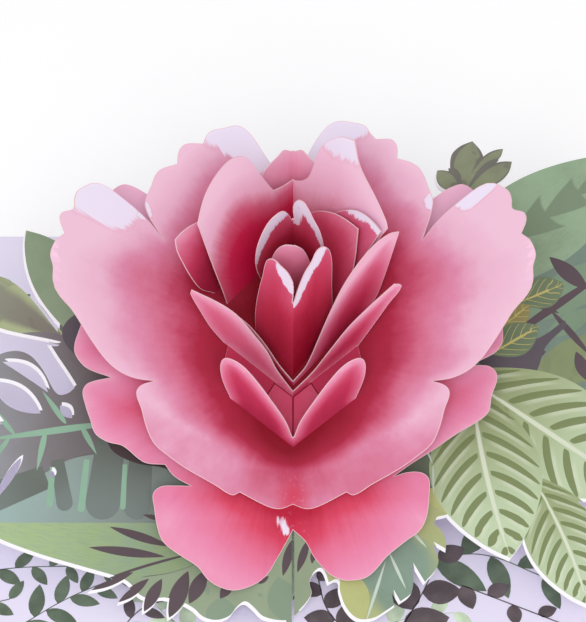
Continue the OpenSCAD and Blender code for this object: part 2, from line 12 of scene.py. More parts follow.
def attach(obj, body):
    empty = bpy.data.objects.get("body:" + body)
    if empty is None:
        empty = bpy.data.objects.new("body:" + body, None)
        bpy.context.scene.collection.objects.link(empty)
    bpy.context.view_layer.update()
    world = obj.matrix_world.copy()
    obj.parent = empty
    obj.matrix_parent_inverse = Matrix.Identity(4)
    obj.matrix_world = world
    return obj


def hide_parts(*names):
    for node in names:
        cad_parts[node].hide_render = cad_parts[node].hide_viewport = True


bl_info = {
    "name": "Pop-up flower card",
    "version": (1, 0, 0),
    "blender": (4, 5, 0),
    "location": "View3D > Sidebar > Card",
    "description": "Finishes a pop-up card with a layered paper flower and leaf sprays",
    "category": "Object",
}

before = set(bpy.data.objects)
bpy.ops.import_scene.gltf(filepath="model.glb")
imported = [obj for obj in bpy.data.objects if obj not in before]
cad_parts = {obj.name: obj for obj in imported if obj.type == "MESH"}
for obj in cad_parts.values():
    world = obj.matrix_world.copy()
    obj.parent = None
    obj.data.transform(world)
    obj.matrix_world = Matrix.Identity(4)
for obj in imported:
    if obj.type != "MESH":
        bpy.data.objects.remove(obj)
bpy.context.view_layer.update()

# Sizes of the card's paper parts in millimetres, as the solids have them.
MM = 0.001
PAPER = 0.4
CARD_TOP = 0.6
FOLD = math.radians(22)
FLAT_RUN = 45.0
CURL_R, CURL_TURN = 150.0, 0.36
LOWER_SCORE, LOWER_RISE = 12.0, math.radians(10)
SPRAY_SCORE = 10.0
OUTER_RUN = 160.0
TILT = math.radians(20)
# The flower's own frame: x across, q along its crease to the back, w up from the crease.
CREASE_START = np.array([0.0, -53.0, 20.0])
FLOWER_AXES = np.array([
    [1, 0, 0],
    [0, math.cos(TILT), math.sin(TILT)],
    [0, -math.sin(TILT), math.cos(TILT)]])
WING_UP = np.array([-math.sin(FOLD), 0, math.cos(FOLD)])
# How far the paper of the petal layers and of the sprays waves up and down
PETAL_WAVE, SPRAY_WAVE = 0.25, 0.4
# A side or face nearer than this to a fold, a foot or a front lies on it
NEAR = 0.02
# Inner points of a sheet lie in rows of even triangles, clear of its lines by a share of their spacing.
ROW_HEIGHT, CLEARANCE = 0.866, 0.62
# Points that are compared with an outline at one time
BLOCK = 2000


def to_flower(row_points):
    return (np.asarray(row_points, float) / MM - CREASE_START) @ FLOWER_AXES.T


def to_row(flower_points):
    return (np.asarray(flower_points, float) @ FLOWER_AXES + CREASE_START) * MM


def linear(colour):
    """A display colour of 0 to 1 as linear RGBA."""
    return tuple(c / 12.92 if c <= 0.04045 else ((c + 0.055) / 1.055) ** 2.4 for c in colour[:3]) + (1.0,)


def shaded(tint, *shares):
    """A linear colour with its red, green and blue multiplied by one share, or by one each."""
    shares = shares * 3 if len(shares) == 1 else shares
    return tuple(c * k for c, k in zip(tint, shares)) + (1.0,)


def rgb(r, g, b):
    return (r / 255, g / 255, b / 255)


def between(value, start, end):
    """0 before start, 1 after end, even between them; start may be the larger."""
    return np.clip((value - start) / (end - start), 0, 1)


# Settings

def colour(name, text, value):
    return FloatVectorProperty(
        name=name, description=text, subtype="COLOR_GAMMA", size=3, min=0, max=1, default=value)


def number(name, text, value, **more):
    return FloatProperty(name=name, description=text, default=value, **more)


class PetalSettings(bpy.types.PropertyGroup):
    """Paint and cut edges of the petals"""
    deep: colour("Deep", "Paint at the foot of a petal", rgb(134, 4, 32))
    rose: colour("Rose", "Paint above the foot", rgb(188, 68, 100))
    pink: colour("Pink", "Paint in the middle of a petal", rgb(216, 134, 166))
    pale: colour("Pale", "Paint along a petal's rim", rgb(238, 195, 217))
    lilac: colour("Lilac", "Paint on the petals' tips", rgb(236, 228, 247))
    coral: colour("Coral", "Warm paint beside the crease in front", rgb(206, 44, 76))
    cut: colour("Cut edge", "Bare paper along a cut", rgb(239, 198, 207))
    cut_width: number("Cut width", "Bare rim beside a cut, in millimetres", 0.2, min=0.1, max=1)
    spacing: number("Mesh spacing", "Distance of a petal's inner points, in millimetres", 2.2, min=1, max=6)


class LeafSettings(bpy.types.PropertyGroup):
    """Print and cut borders of the leaf sprays"""
    border: FloatVectorProperty(
        name="Print shift", size=2, default=(0.7, 1.3),
        description="Shift of the print from the cut to the right and the back, in millimetres")
    spacing: number("Mesh spacing", "Distance of a spray's inner points, in millimetres", 4, min=1, max=8)
    joint: number(
        "Joint", "Strip beside the crease that is printed to its edge, in millimetres", 2.5, min=0, max=5)
    plum: colour("Plum", "Dark leaflets", rgb(90, 76, 82))
    moss: colour("Moss", "Mid green of the large leaf at the back", rgb(146, 170, 140))
    lime: colour("Lime", "Yellow green of the lance leaf's rim", rgb(164, 174, 134))
    rib: colour("Rib", "Light green of the split leaf's ribs", rgb(142, 178, 154))
    straw: colour("Straw", "Veins of the small leaves", rgb(194, 182, 110))


class InsideSettings(bpy.types.PropertyGroup):
    """Print on the card's inside"""
    lilac: colour("Lilac", "Print on the card's inside", rgb(236, 230, 249))
    leaf: colour("Leaf", "Printed sprigs on the inside", rgb(88, 102, 86))
    dusk: colour("Dusk", "Darker printed sprigs", rgb(86, 76, 80))
    mist: colour("Mist", "Pale printed sprigs", rgb(178, 194, 168))
    print_height: number(
        "Print height", "Step in thickness from one printed sprig to the next, in millimetres", 0.016,
        min=0.01, max=0.05)


class StageSettings(bpy.types.PropertyGroup):
    """Floor, lights and camera"""
    floor: colour("Floor", "Floor under the card", rgb(250, 250, 251))
    glow: number("Glow", "Light that the white floor gives off", 0.1, min=0, max=1)
    elevation: number("Elevation", "Camera's angle above the floor", math.radians(52), subtype="ANGLE")
    distance: number("Distance", "Camera to the flower", 0.75, unit="LENGTH")
    height: number("Aim height", "Height of the point the camera looks at", 0.0747, unit="LENGTH")
    lens: number("Lens", "Focal length in millimetres", 112.86)
    key: number("Key light", "Power of the large light", 9.0, unit="POWER")
    sky: number("Sky light", "Strength of the even light", 0.74)


# Shader nodes

class Val:
    """A socket that Python's operators turn into Math nodes."""

    def __init__(self, ink, socket):
        self.ink, self.socket = ink, socket

    def __add__(self, other):
        return self.ink.calc("ADD", self, other)

    def __mul__(self, other):
        return self.ink.calc("MULTIPLY", self, other)

    __radd__, __rmul__ = __add__, __mul__

    def __sub__(self, other):
        return self.ink.calc("SUBTRACT", self, other)

    def __rsub__(self, other):
        return self.ink.calc("SUBTRACT", other, self)

    def __pow__(self, other):
        return self.ink.calc("POWER", self, other)

    def __mod__(self, other):
        return self.ink.calc("FLOORED_MODULO", self, other)

    def __abs__(self):
        return self.ink.calc("ABSOLUTE", self)

    def most(self, other):
        return self.ink.calc("MAXIMUM", self, other)

    def step(self, low, high):
        """0 below low, 1 above high, smooth between; low may be the larger."""
        settings = {"interpolation_type": "SMOOTHSTEP"}
        if low < high:
            return self.ink.node("ShaderNodeMapRange", settings, {0: self, 1: low, 2: high, 3: 0.0, 4: 1.0})
        return self.ink.node("ShaderNodeMapRange", settings, {0: self, 1: high, 2: low, 3: 1.0, 4: 0.0})


class Ink:
    """One material, written as expressions."""

    def __init__(self, name, roughness=0.6):
        self.material = bpy.data.materials.new(name)
        self.material.use_nodes = True
        self.tree = self.material.node_tree
        self.shader = self.tree.nodes["Principled BSDF"]
        self.roughness = roughness
        self.shader.inputs["Specular IOR Level"].default_value = 0.25

    def node(self, kind, settings=None, sockets=None, output=0):
        made = self.tree.nodes.new(kind)
        for key, value in (settings or {}).items():
            if key == "stops":
                ramp = made.color_ramp
                while len(ramp.elements) < len(value):
                    ramp.elements.new(0.5)
                for element, (place, tint) in zip(ramp.elements, value):
                    element.position = place
                    element.color = tint
            else:
                setattr(made, key, value)
        for key, value in (sockets or {}).items():
            self.feed(made.inputs[key], value)
        return Val(self, made.outputs[output])

    def feed(self, socket, value):
        if isinstance(value, Val):
            self.tree.links.new(value.socket, socket)
        else:
            socket.default_value = value

    def calc(self, operation, *values):
        return self.node("ShaderNodeMath", {"operation": operation}, dict(enumerate(values)))

    def parts(self, vector):
        split = self.node("ShaderNodeSeparateXYZ", None, {0: vector})
        return [Val(self, s) for s in split.socket.node.outputs]

    def mix(self, factor, a, b):
        return self.node("ShaderNodeMix", {"data_type": "RGBA"}, {0: factor, 6: a, 7: b}, 2)

    def ramp(self, factor, stops):
        return self.node("ShaderNodeValToRGB", {"stops": stops}, {0: factor})

    def place(self):
        return self.node("ShaderNodeTexCoord", None, None, "Object")

    def uv(self, name):
        return self.node("ShaderNodeUVMap", {"uv_map": name})

    def attribute(self, name):
        return self.node("ShaderNodeAttribute", {"attribute_name": name}, None, "Vector")

    def stretch(self, vector, scale):
        return self.node("ShaderNodeMapping", None, {"Vector": vector, "Scale": scale})

    def noise(self, vector, scale, detail=2.0, rough=0.5):
        return self.node("ShaderNodeTexNoise", None, {
            "Vector": vector, "Scale": scale, "Detail": detail, "Roughness": rough})

    def finish(self, tint, grain=0.06):
        """Sets the colour, with a paper grain in roughness and normal."""
        place = self.place()
        fibre = self.noise(place, 1400, 3, 0.6)
        tooth = self.noise(place, 5200, 1)
        self.feed(self.shader.inputs["Base Color"], tint)
        self.feed(self.shader.inputs["Roughness"], fibre * 0.16 + (self.roughness - 0.08))
        bump = self.node("ShaderNodeBump", None, {
            "Strength": grain, "Distance": 0.0002, "Height": fibre + tooth * 0.5})
        self.feed(self.shader.inputs["Normal"], bump)
        return self.material


def cut_paper(tint):
    ink = Ink("cut_paper", 0.7)
    shade = ink.noise(ink.place(), 900, 2)
    white = linear(tint)
    return ink.finish(ink.mix(shade, shaded(white, 0.9), white))


def petal_paint(name, look, stops, brushed=1.0):
    """Brushed paint from a petal's foot to its rim.

    The paint attribute holds the blend from foot to rim, the mask of the lilac tips, spots and painted
    highlights, and the warm paint's mask.
    """
    ink = Ink(name, 0.62)
    blend, tips, warm = ink.parts(ink.attribute("paint"))
    brush = ink.uv("brush")
    strokes = ink.noise(ink.stretch(brush, (1, 0.3, 1)), 5, 4, 0.6)
    fine = ink.noise(ink.stretch(brush, (1, 0.25, 1)), 26, 2, 0.5)
    place = ink.place()
    wash = ink.noise(place, 38, 4, 0.55)
    mottle = ink.noise(place, 170, 3, 0.6)
    drawn = (strokes - 0.5) * 0.04 + (fine - 0.5) * 0.015
    shade = blend + drawn * brushed + (wash - 0.5) * 0.2 + (mottle - 0.5) * 0.07
    tint = ink.ramp(shade, [(p, linear(c)) for p, c in stops])
    flush = (warm + (wash - 0.5) * 0.6 * warm).step(0.2, 0.95)
    tint = ink.mix(flush * 0.8, tint, linear(look.coral))
    ragged = (strokes - 0.5) * 0.8 + (wash - 0.5) * 0.5 + (fine - 0.5) * 0.5
    edge = tips + ragged * tips.step(0.02, 0.4)
    rosy = edge.step(0.2, 0.42) * edge.step(0.62, 0.46)
    tint = ink.mix(rosy * 0.12, tint, linear(look.coral))
    tint = ink.mix(edge.step(0.36, 0.62) * 0.95, tint, linear(look.lilac))
    speck = ink.noise(place, 700, 2)
    tint = ink.mix(speck.step(0.58, 0.72) * warm.step(0.1, 0.6) * 0.12, tint, linear(look.pale))
    return ink.finish(tint)


# Sheets cut from paper

def region(node, keep):
    """Outlines, in the flower's frame, of the faces of a solid whose centre and normal pass keep."""
    bm = bmesh.new()
    bm.from_mesh(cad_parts[node].data)
    bmesh.ops.remove_doubles(bm, verts=bm.verts, dist=2e-6)
    bm.verts.index_update()
    points = to_flower([v.co for v in bm.verts])
    tris = np.array([[v.index for v in f.verts] for f in bm.faces if f.calc_area() > 1e-12])
    bm.free()
    a, b, c = (points[tris[:, i]] for i in range(3))
    normal = np.cross(b - a, c - a)
    normal /= np.linalg.norm(normal, axis=1)[:, None]
    tris = tris[keep((a + b + c) / 3, normal)]
    if not len(tris):
        raise RuntimeError("no faces of %s lie on the sheet's front" % node)
    directed = {(t[i], t[(i + 1) % 3]) for t in tris for i in range(3)}
    after = {}
    for s, e in directed:
        if (e, s) not in directed:
            after.setdefault(s, []).append(e)
    loops = []
    while after:
        start = here = next(iter(after))
        loop = []
        while here in after:
            loop.append(here)
            onward = after[here]
            there = onward.pop()
            if not onward:
                del after[here]
            here = there
        if len(loop) > 2 and here == start:
            loops.append(points[loop])
    return loops


def smoothed(loop, step=0.9, corner=48):
    """A closed 2-D loop with its facets rounded off between sharp corners."""
    n = len(loop)
    way = np.roll(loop, -1, axis=0) - loop
    length = np.linalg.norm(way, axis=1)
    unit = way / length[:, None]
    before = np.roll(unit, 1, axis=0)
    sharp = (unit * before).sum(1) < math.cos(math.radians(corner))
    around = np.roll(loop, -1, axis=0) - np.roll(loop, 1, axis=0)
    around /= np.linalg.norm(around, axis=1)[:, None]
    out = []
    for i in range(n):
        j = (i + 1) % n
        pieces = max(1, int(math.ceil(length[i] / step)))
        start = unit[i] if sharp[i] else around[i]
        end = unit[i] if sharp[j] else around[j]
        for k in range(pieces):
            t = k / pieces
            out.append(
                loop[i] * (2 * t ** 3 - 3 * t ** 2 + 1) + start * length[i] * (t ** 3 - 2 * t ** 2 + t)
                + loop[j] * (3 * t ** 2 - 2 * t ** 3) + end * length[i] * (t ** 3 - t ** 2))
    return np.array(out)


def anticlockwise(flat):
    area = np.sum(flat[:, 0] * np.roll(flat[:, 1], -1) - np.roll(flat[:, 0], -1) * flat[:, 1])
    return flat if area > 0 else flat[::-1]


def inset(loop, depth):
    """The loop moved to its left by depth, where the paper is."""
    way = np.roll(loop, -1, axis=0) - loop
    way /= np.maximum(np.linalg.norm(way, axis=1), 1e-9)[:, None]
    left = np.stack([-way[:, 1], way[:, 0]], axis=1)
    before = np.roll(left, 1, axis=0)
    both = left + before
    size = 1 + (left * before).sum(1)
    return loop + both * (depth / np.maximum(size, 0.35))[:, None]


def inside(points, loops):
    """True for the points inside the closed loops, holes left out."""
    odd = np.zeros(len(points), bool)
    for loop in loops:
        a, b = loop, np.roll(loop, -1, axis=0)
        rise = b[:, 1] - a[:, 1]
        rise = np.where(np.abs(rise) < 1e-12, 1e-12, rise)
        for s in range(0, len(points), BLOCK):
            x, y = points[s:s + BLOCK, :1], points[s:s + BLOCK, 1:2]
            level = (a[:, 1] > y) != (b[:, 1] > y)
            cross = level & (x < (b[:, 0] - a[:, 0]) * (y - a[:, 1]) / rise + a[:, 0])
            odd[s:s + BLOCK] ^= cross.sum(1) % 2 == 1
    return odd


def sides(loops):
    """Starts and ends of all the straight sides of the loops."""
    return np.concatenate(loops), np.concatenate([np.roll(loop, -1, axis=0) for loop in loops])


def gap(points, starts, ends):
    """Distance of each 2-D point from the nearest side."""
    way = ends - starts
    size = np.maximum((way ** 2).sum(1), 1e-12)
    out = np.empty(len(points))
    for s in range(0, len(points), BLOCK):
        rel = points[s:s + BLOCK, None, :] - starts[None]
        t = np.clip((rel * way).sum(2) / size, 0, 1)
        out[s:s + BLOCK] = np.sqrt(((rel - t[:, :, None] * way) ** 2).sum(2)).min(1)
    return out


def bare_band(flat, tris, rim_sides, width):
    """1 for the faces in the bare band along a cut, 0 for the painted ones."""
    return (gap(flat[tris].mean(1), *rim_sides) < width * 0.75).astype(int)


def cut_sheet(loops, lines, spacing, band):
    """2-D points and triangles inside loops, with edges along the lines and along a band inside the rim."""
    points, edges = [], []

    def add(line, closed):
        base, n = len(points), len(line)
        points.extend(line)
        edges.extend((base + i, base + (i + 1) % n) for i in range(n if closed else n - 1))

    for loop in loops:
        add(loop, True)
        if band:
            add(inset(loop, band), True)
    for line, closed in lines:
        add(line, closed)
    fixed = np.array(points)
    low, high = fixed.min(0), fixed.max(0)
    rows = np.arange(low[1], high[1], spacing * ROW_HEIGHT)
    columns = np.arange(low[0], high[0], spacing)
    grid = np.array([(x + (spacing / 2 if k % 2 else 0), y) for k, y in enumerate(rows) for x in columns])
    grid = grid[inside(grid, loops)]
    near = np.array([np.min(((fixed - g) ** 2).sum(1)) for g in grid]) if len(grid) else np.zeros(0)
    points.extend(grid[near > (CLEARANCE * spacing) ** 2])
    co, _, faces, *_ = delaunay_2d_cdt([Vector(p) for p in points], edges, [], 0, 1e-5)
    co = np.array([(v.x, v.y) for v in co])
    tris = np.array([f[:] for f in faces])
    tris = tris[inside(co[tris].mean(1), loops)]
    used = np.unique(tris)
    index = np.full(len(co), -1)
    index[used] = np.arange(len(used))
    co, tris = co[used], index[tris]
    e1, e2 = co[tris[:, 1]] - co[tris[:, 0]], co[tris[:, 2]] - co[tris[:, 0]]
    area = e1[:, 0] * e2[:, 1] - e1[:, 1] * e2[:, 0]
    tris[area < 0] = tris[area < 0][:, ::-1]
    return co, tris[np.abs(area) > 1e-9]


def turned_to(direction, points, tris):
    """The triangles with their fronts towards a direction."""
    a, b, c = (points[tris[:, i]] for i in range(3))
    return tris if (np.cross(b - a, c - a) @ direction).mean() >= 0 else tris[:, ::-1]


def open_edges(tris):
    directed = {(t[i], t[(i + 1) % 3]) for t in tris.tolist() for i in range(3)}
    return [e for e in directed if (e[1], e[0]) not in directed]


def close_fold(bm):
    """Joins the two wings of a pair along their fold, less the faces there that have no area."""

    def on_fold(*verts):
        return all(abs(v.co.x) < 1e-6 for v in verts)

    slivers = [f for f in bm.faces if on_fold(*f.verts) and f.calc_area() < 1e-10]
    bmesh.ops.delete(bm, geom=slivers, context="FACES")
    bmesh.ops.remove_doubles(bm, verts=[v for v in bm.verts if on_fold(v)], dist=5e-6)


def put(name, data):
    """A new object at the origin, in the scene."""
    made = bpy.data.objects.new(name, data)
    bpy.context.scene.collection.objects.link(made)
    return made


class Paper:
    """Collects sheets of paper into one piece, with their materials, paint attribute and UV maps."""

    def __init__(self, node, materials):
        self.node, self.materials = node, materials
        self.points, self.faces, self.slots, self.paint, self.maps = [], [], [], [], {}
        self.count = 0

    def add(self, top, bottom, tris, slot, edge_slot, paint, maps, joined=None, back_slot=None):
        """A sheet with a front, a back and a cut rim. joined marks points on a fold, which gets no rim."""
        n, base = len(top), self.count
        self.points.append(np.concatenate([top, bottom]))
        self.count += 2 * n
        paint = np.zeros((n, 3)) if paint is None else paint
        self.paint.append(np.concatenate([paint, paint]))
        slot = np.broadcast_to(slot, len(tris))
        back = slot if back_slot is None else np.broadcast_to(back_slot, len(tris))
        rims = [e for e in open_edges(tris) if joined is None or not (joined[e[0]] and joined[e[1]])]
        self.faces += [list(t + base) for t in tris] + [list(t[::-1] + base + n) for t in tris]
        self.faces += [[a + base, a + base + n, b + base + n, b + base] for a, b in rims]
        self.slots += list(slot) + list(back) + [edge_slot] * len(rims)
        for key, values in maps.items():
            if values.ndim == 3:
                corner, rim = values, [np.zeros((4, 2)) for _ in rims]
            else:
                corner, rim = values[tris], [values[[a, a, b, b]] for a, b in rims]
            self.maps.setdefault(key, []).extend(list(corner) + list(corner[:, ::-1]) + rim)

    def place(self, folded=False):
        """Makes the piece and puts it in its node's place."""
        name = self.node + "_sheet"
        mesh = bpy.data.meshes.new(name)
        mesh.from_pydata(to_row(np.concatenate(self.points)).tolist(), [], self.faces)
        for material in self.materials:
            mesh.materials.append(material)
        mesh.polygons.foreach_set("material_index", np.array(self.slots, np.int32))
        attribute = mesh.attributes.new("paint", "FLOAT_VECTOR", "POINT")
        attribute.data.foreach_set("vector", np.concatenate(self.paint).astype(np.float32).ravel())
        for key, corners in self.maps.items():
            layer = mesh.uv_layers.new(name=key)
            layer.data.foreach_set("uv", np.concatenate(corners).astype(np.float32).ravel())
        mesh.validate()
        if folded:
            bm = bmesh.new()
            bm.from_mesh(mesh)
            close_fold(bm)
            bm.to_mesh(mesh)
            bm.free()
        piece = put(name, mesh)
        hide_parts(self.node)
        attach(piece, "root")


# Bent sheets over the crease

def wing_point(along, depth):
    return np.array([
        along * math.cos(FOLD) + depth * math.sin(FOLD), along * math.sin(FOLD) - depth * math.cos(FOLD)])


def main_profile():
    """Section of the main layer's top: straight wings that curl up outside."""
    turn = FOLD + np.linspace(0, CURL_TURN, 40)
    x = FLAT_RUN + CURL_R * (np.sin(turn) - math.sin(FOLD))
    w = FLAT_RUN * math.tan(FOLD) + CURL_R * (math.cos(FOLD) - np.cos(turn))
    return np.concatenate([[[0, 0]], np.stack([x, w], 1)])


def scored_profile(depth, score, rise):
    """Section of a sheet that lies under the main layer as far as its score, and rises less outside."""
    knee = wing_point(score, depth)
    outer = knee + OUTER_RUN * np.array([math.cos(rise), math.sin(rise)])
    return np.array([[0, -depth / math.cos(FOLD)], knee, outer])


def bent(profile, flat, wave):
    """Top and bottom points of a waved sheet over the crease, from its outline points seen from above."""

    def height(at):
        return np.interp(at, profile[:, 0], profile[:, 1])

    x = np.abs(flat[:, 0])
    side = np.where(flat[:, 0] < 0, -1.0, 1.0)
    w = height(x) + wave
    after, before = x + 0.05, np.maximum(x - 0.05, 0)
    slope = (height(after) - height(before)) / (after - before)
    run = np.sqrt(1 + slope ** 2)
    crease = x < 1e-6
    top = np.stack([flat[:, 0], flat[:, 1], w], 1)
    bottom = np.stack([
        np.where(crease, 0.0, flat[:, 0] + side * PAPER * slope / run), flat[:, 1],
        w - np.where(crease, PAPER / math.cos(FOLD), PAPER / run)], 1)
    return top, bottom


def score_line(x, loop, spacing):
    """A line along the sheet at x, a little longer than its outline."""
    low, high = loop[:, 1].min() - 5, loop[:, 1].max() + 5
    return np.linspace((x, low), (x, high), max(2, int((high - low) / spacing))), False


def crease_loops(node):
    loops = region(node, lambda centre, normal: normal[:, 2] > 0.3)
    return [smoothed(loop[:, :2]) for loop in loops]


def soft(far):
    """A brush stroke's mask from the distance to its line, in half widths."""
    return np.clip(1.35 - 0.85 * far, 0, 1)


def dabs(flat, strokes):
    """Soft masks along short brush strokes: x and q of both ends, and the half width."""
    mask = np.zeros(len(flat))
    for x1, q1, x2, q2, half in strokes:
        mask = np.maximum(mask, soft(gap(flat, np.array([[x1, q1]]), np.array([[x2, q2]])) / half))
    return mask


def polar(flat, centre, turns=5.0, reach=90.0):
    """Brush directions that run out from a centre."""
    rel = flat - np.asarray(centre)
    return np.stack([np.arctan2(rel[:, 0], rel[:, 1]) * turns, np.hypot(rel[:, 0], rel[:, 1]) / reach], 1)


class CARD_OT_petal_layers(bpy.types.Operator):
    """Make the two creased petal layers, painted from the heart to their rims"""
    bl_idname = "card.petal_layers"
    bl_label = "Petal layers"

    # Lilac strokes on the main layer's tips, the last two of them painted highlights on its back lobes, and
    # a pale spot on the lower layer
    tips = [
        (-81, 115, -70, 112, 8), (75, 121, 68, 116, 4.2), (-30, 152.5, -13, 145, 7.6), (25, 155, 14, 155, 6),
        # The last two strokes below are painted highlights on the back lobes.
        (14, 155, 7, 143, 6.6), (55, 117, 55, 119, 2.6), (-58.5, 112, -59, 115, 2.2)]
    pale_spot = [(-5, -6.6, -3.2, -10.4, 2.3)]
    # How far the paint runs from the line under the heart to the pale rim, at places along the crease; the
    # long reach up to 112 mm keeps the paint deep where the tall petals shade the layer, partly paint and
    # partly painted shade of those petals.
    heart = np.array([[0.0, 30.0]]), np.array([[0.0, 110.0]])
    along = (0, 8, 14, 20, 30, 53, 88, 112, 122, 160)
    reach = (49, 41, 34.5, 41.5, 61, 88, 95, 71, 61, 58)
    # The palest blend that the front of the main layer gets, at places along the crease
    cap_along, caps = (0, 22, 34, 55), (0.66, 0.69, 0.8, 1.12)

    def execute(self, context):
        look = context.scene.card_petals
        cut = cut_paper(look.cut)
        main = petal_paint("main_petal_paint", look, [
            (0.2, look.deep), (0.41, rgb(167, 34, 64)), (0.49, look.rose), (0.57, rgb(205, 106, 136)),
            (0.67, look.pink), (0.79, rgb(231, 179, 204)), (0.95, look.pale)])
        lower = petal_paint("lower_petal_paint", look, [
            (0.0, rgb(178, 24, 56)), (0.23, rgb(210, 64, 94)), (0.44, rgb(220, 106, 140)),
            (0.7, rgb(226, 134, 170)), (0.82, rgb(230, 148, 180)), (1.0, rgb(232, 178, 204))], 3.5)
        self.layer("petals_main", main_profile(), FLAT_RUN, self.main_values, [main, cut], look)
        profile = scored_profile(PAPER, LOWER_SCORE, LOWER_RISE)
        self.layer("petals_lower", profile, profile[1][0], self.lower_values, [lower, cut], look)
        return {"FINISHED"}

    def main_values(self, x, q, flat, rim):
        """The main layer's blend runs out from a line on the crease under the heart."""
        # left_back makes the paint paler on the left behind the side petal: painted light against the shadow
        # that petal casts there.
        left_back = np.where(x < 0, 0.05, 0) * between(q, 80, 100)
        front = 0.14 * between(np.abs(x), 8, 16) * between(q, 20, 12)
        reach = np.interp(q, self.along, self.reach) * (1 - left_back + front)
        blend = gap(flat, *self.heart) / reach + 0.04 * np.exp(-rim / 2.5)
        cap = np.interp(q, self.cap_along, self.caps) - 0.06 * between(x, 0, 20) * between(q, 25, 15)
        warm = 0.85 * np.exp(-(x / 8) ** 2) * between(q, 18, 4)
        return np.minimum(blend, cap), dabs(flat, self.tips), warm

    def lower_values(self, x, q, flat, rim):
        """The lower layer's blend runs out from the crease in front, and from the rim beside the flower;
        painted shade of the main layer deepens it under that layer's front edge and inward from the rim.
        """
        front = 0.82 * np.clip((np.hypot(x, q + 2) / 48) ** 1.15 + np.clip(-10 - q, 0, 30) / 90, 0, 1)
        # Deeper from just in front of the main layer's front edge backwards: painted shade of that layer.
        front -= 0.2 * between(q, -7, 1)
        # Deeper inward from the rim, under the main layer: painted shade of that layer; paler at the back.
        beside = 0.88 - 0.5 * between(rim, 0, 15) + 0.5 * between(q, 70, 90)
        blend = front + (beside - front) * between(q, 10, 22)
        warm = 0.55 * np.exp(-(x / 9) ** 2) * between(q, 2, -6)
        return blend, 0.62 * dabs(flat, self.pale_spot), warm

    def layer(self, node, profile, score, values, materials, look):
        loops = crease_loops(node)
        lines = [score_line(x, loops[0], look.spacing) for x in (0, -score, score)]
        flat, tris = cut_sheet(loops, lines, look.spacing, look.cut_width)
        flat[np.abs(flat[:, 0]) < 1e-4, 0] = 0.0
        x, q = flat.T
        rim_sides = sides(loops)
        paint = np.stack(values(x, q, flat, gap(flat, *rim_sides)), 1)
        wave = PETAL_WAVE * np.sin(q / 9 + np.abs(x) / 14) * between(np.abs(x), 0, 60)
        top, bottom = bent(profile, flat, wave)
        band = bare_band(flat, tris, rim_sides, look.cut_width)
        paper = Paper(node, materials)
        paper.add(top, bottom, tris, band, 1, paint, {"brush": polar(flat, (0, 62))})
        paper.place()


# Standing petals

class Plane:
    """A standing petal's front, found from the solid: a along the glued edge, b up from it."""

    def __init__(self, node, side):
        bm = bmesh.new()
        bm.from_mesh(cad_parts[node].data)
        found = []
        for face in bm.faces:
            centre = to_flower([face.calc_center_median()])[0]
            if centre[0] * side > 0:
                found.append((face.calc_area(), FLOWER_AXES @ np.array(face.normal)))
        bm.free()
        areas = np.array([f[0] for f in found])
        normals = np.array([f[1] for f in found])
        up = WING_UP * np.array([side, 1, 1])

        def spread(i):
            return areas[np.abs(normals @ normals[i] - 1) < 1e-3].sum()

        standing = (normals[:, 1] < -0.1) & (np.abs(normals @ up) < 0.95)
        best = max(np.flatnonzero(standing), key=spread)
        self.node, self.side, self.up = node, side, up
        self.front = normals[best] / np.linalg.norm(normals[best])
        self.along = np.cross(up, self.front)
        self.along /= np.linalg.norm(self.along)
        if self.along[0] * side < 0:
            self.along = -self.along
        self.rise = np.cross(self.front, self.along)
        if self.rise @ up < 0:
            self.rise = -self.rise

    def loops(self):
        """Flat outlines of the front. Finds the fold's foot, where they are measured from."""

        def keep(centre, normal):
            flat = (normal @ self.front > 0.9995) & (centre[:, 0] * self.side > 0)
            level = centre @ self.front
            offset = np.max(level[flat])
            self.start = np.array([0, offset / self.front[1], 0])
            return flat & (np.abs(level - offset) < NEAR)

        return [self.flatten(loop) for loop in region(self.node, keep)]

    def flatten(self, points):
        rel = points - self.start
        return anticlockwise(np.stack([rel @ self.along, rel @ self.rise], 1))

    def raise_up(self, flat):
        return self.start + flat[:, :1] * self.along + flat[:, 1:] * self.rise

    def back(self, top, on_fold, on_foot):
        """The points behind the front by the paper's thickness, kept on the fold and on the wing."""

        def within(normal):
            slide = self.front - (self.front @ normal) * normal
            return -PAPER * slide / (slide @ slide)

        out = top - PAPER * self.front
        out[on_fold] = top[on_fold] + within(np.array([1.0, 0, 0]))
        out[on_foot] = top[on_foot] + within(self.up)
        both = on_fold & on_foot
        out[both] = top[both] + np.array([0, -PAPER / self.front[1], 0])
        return out


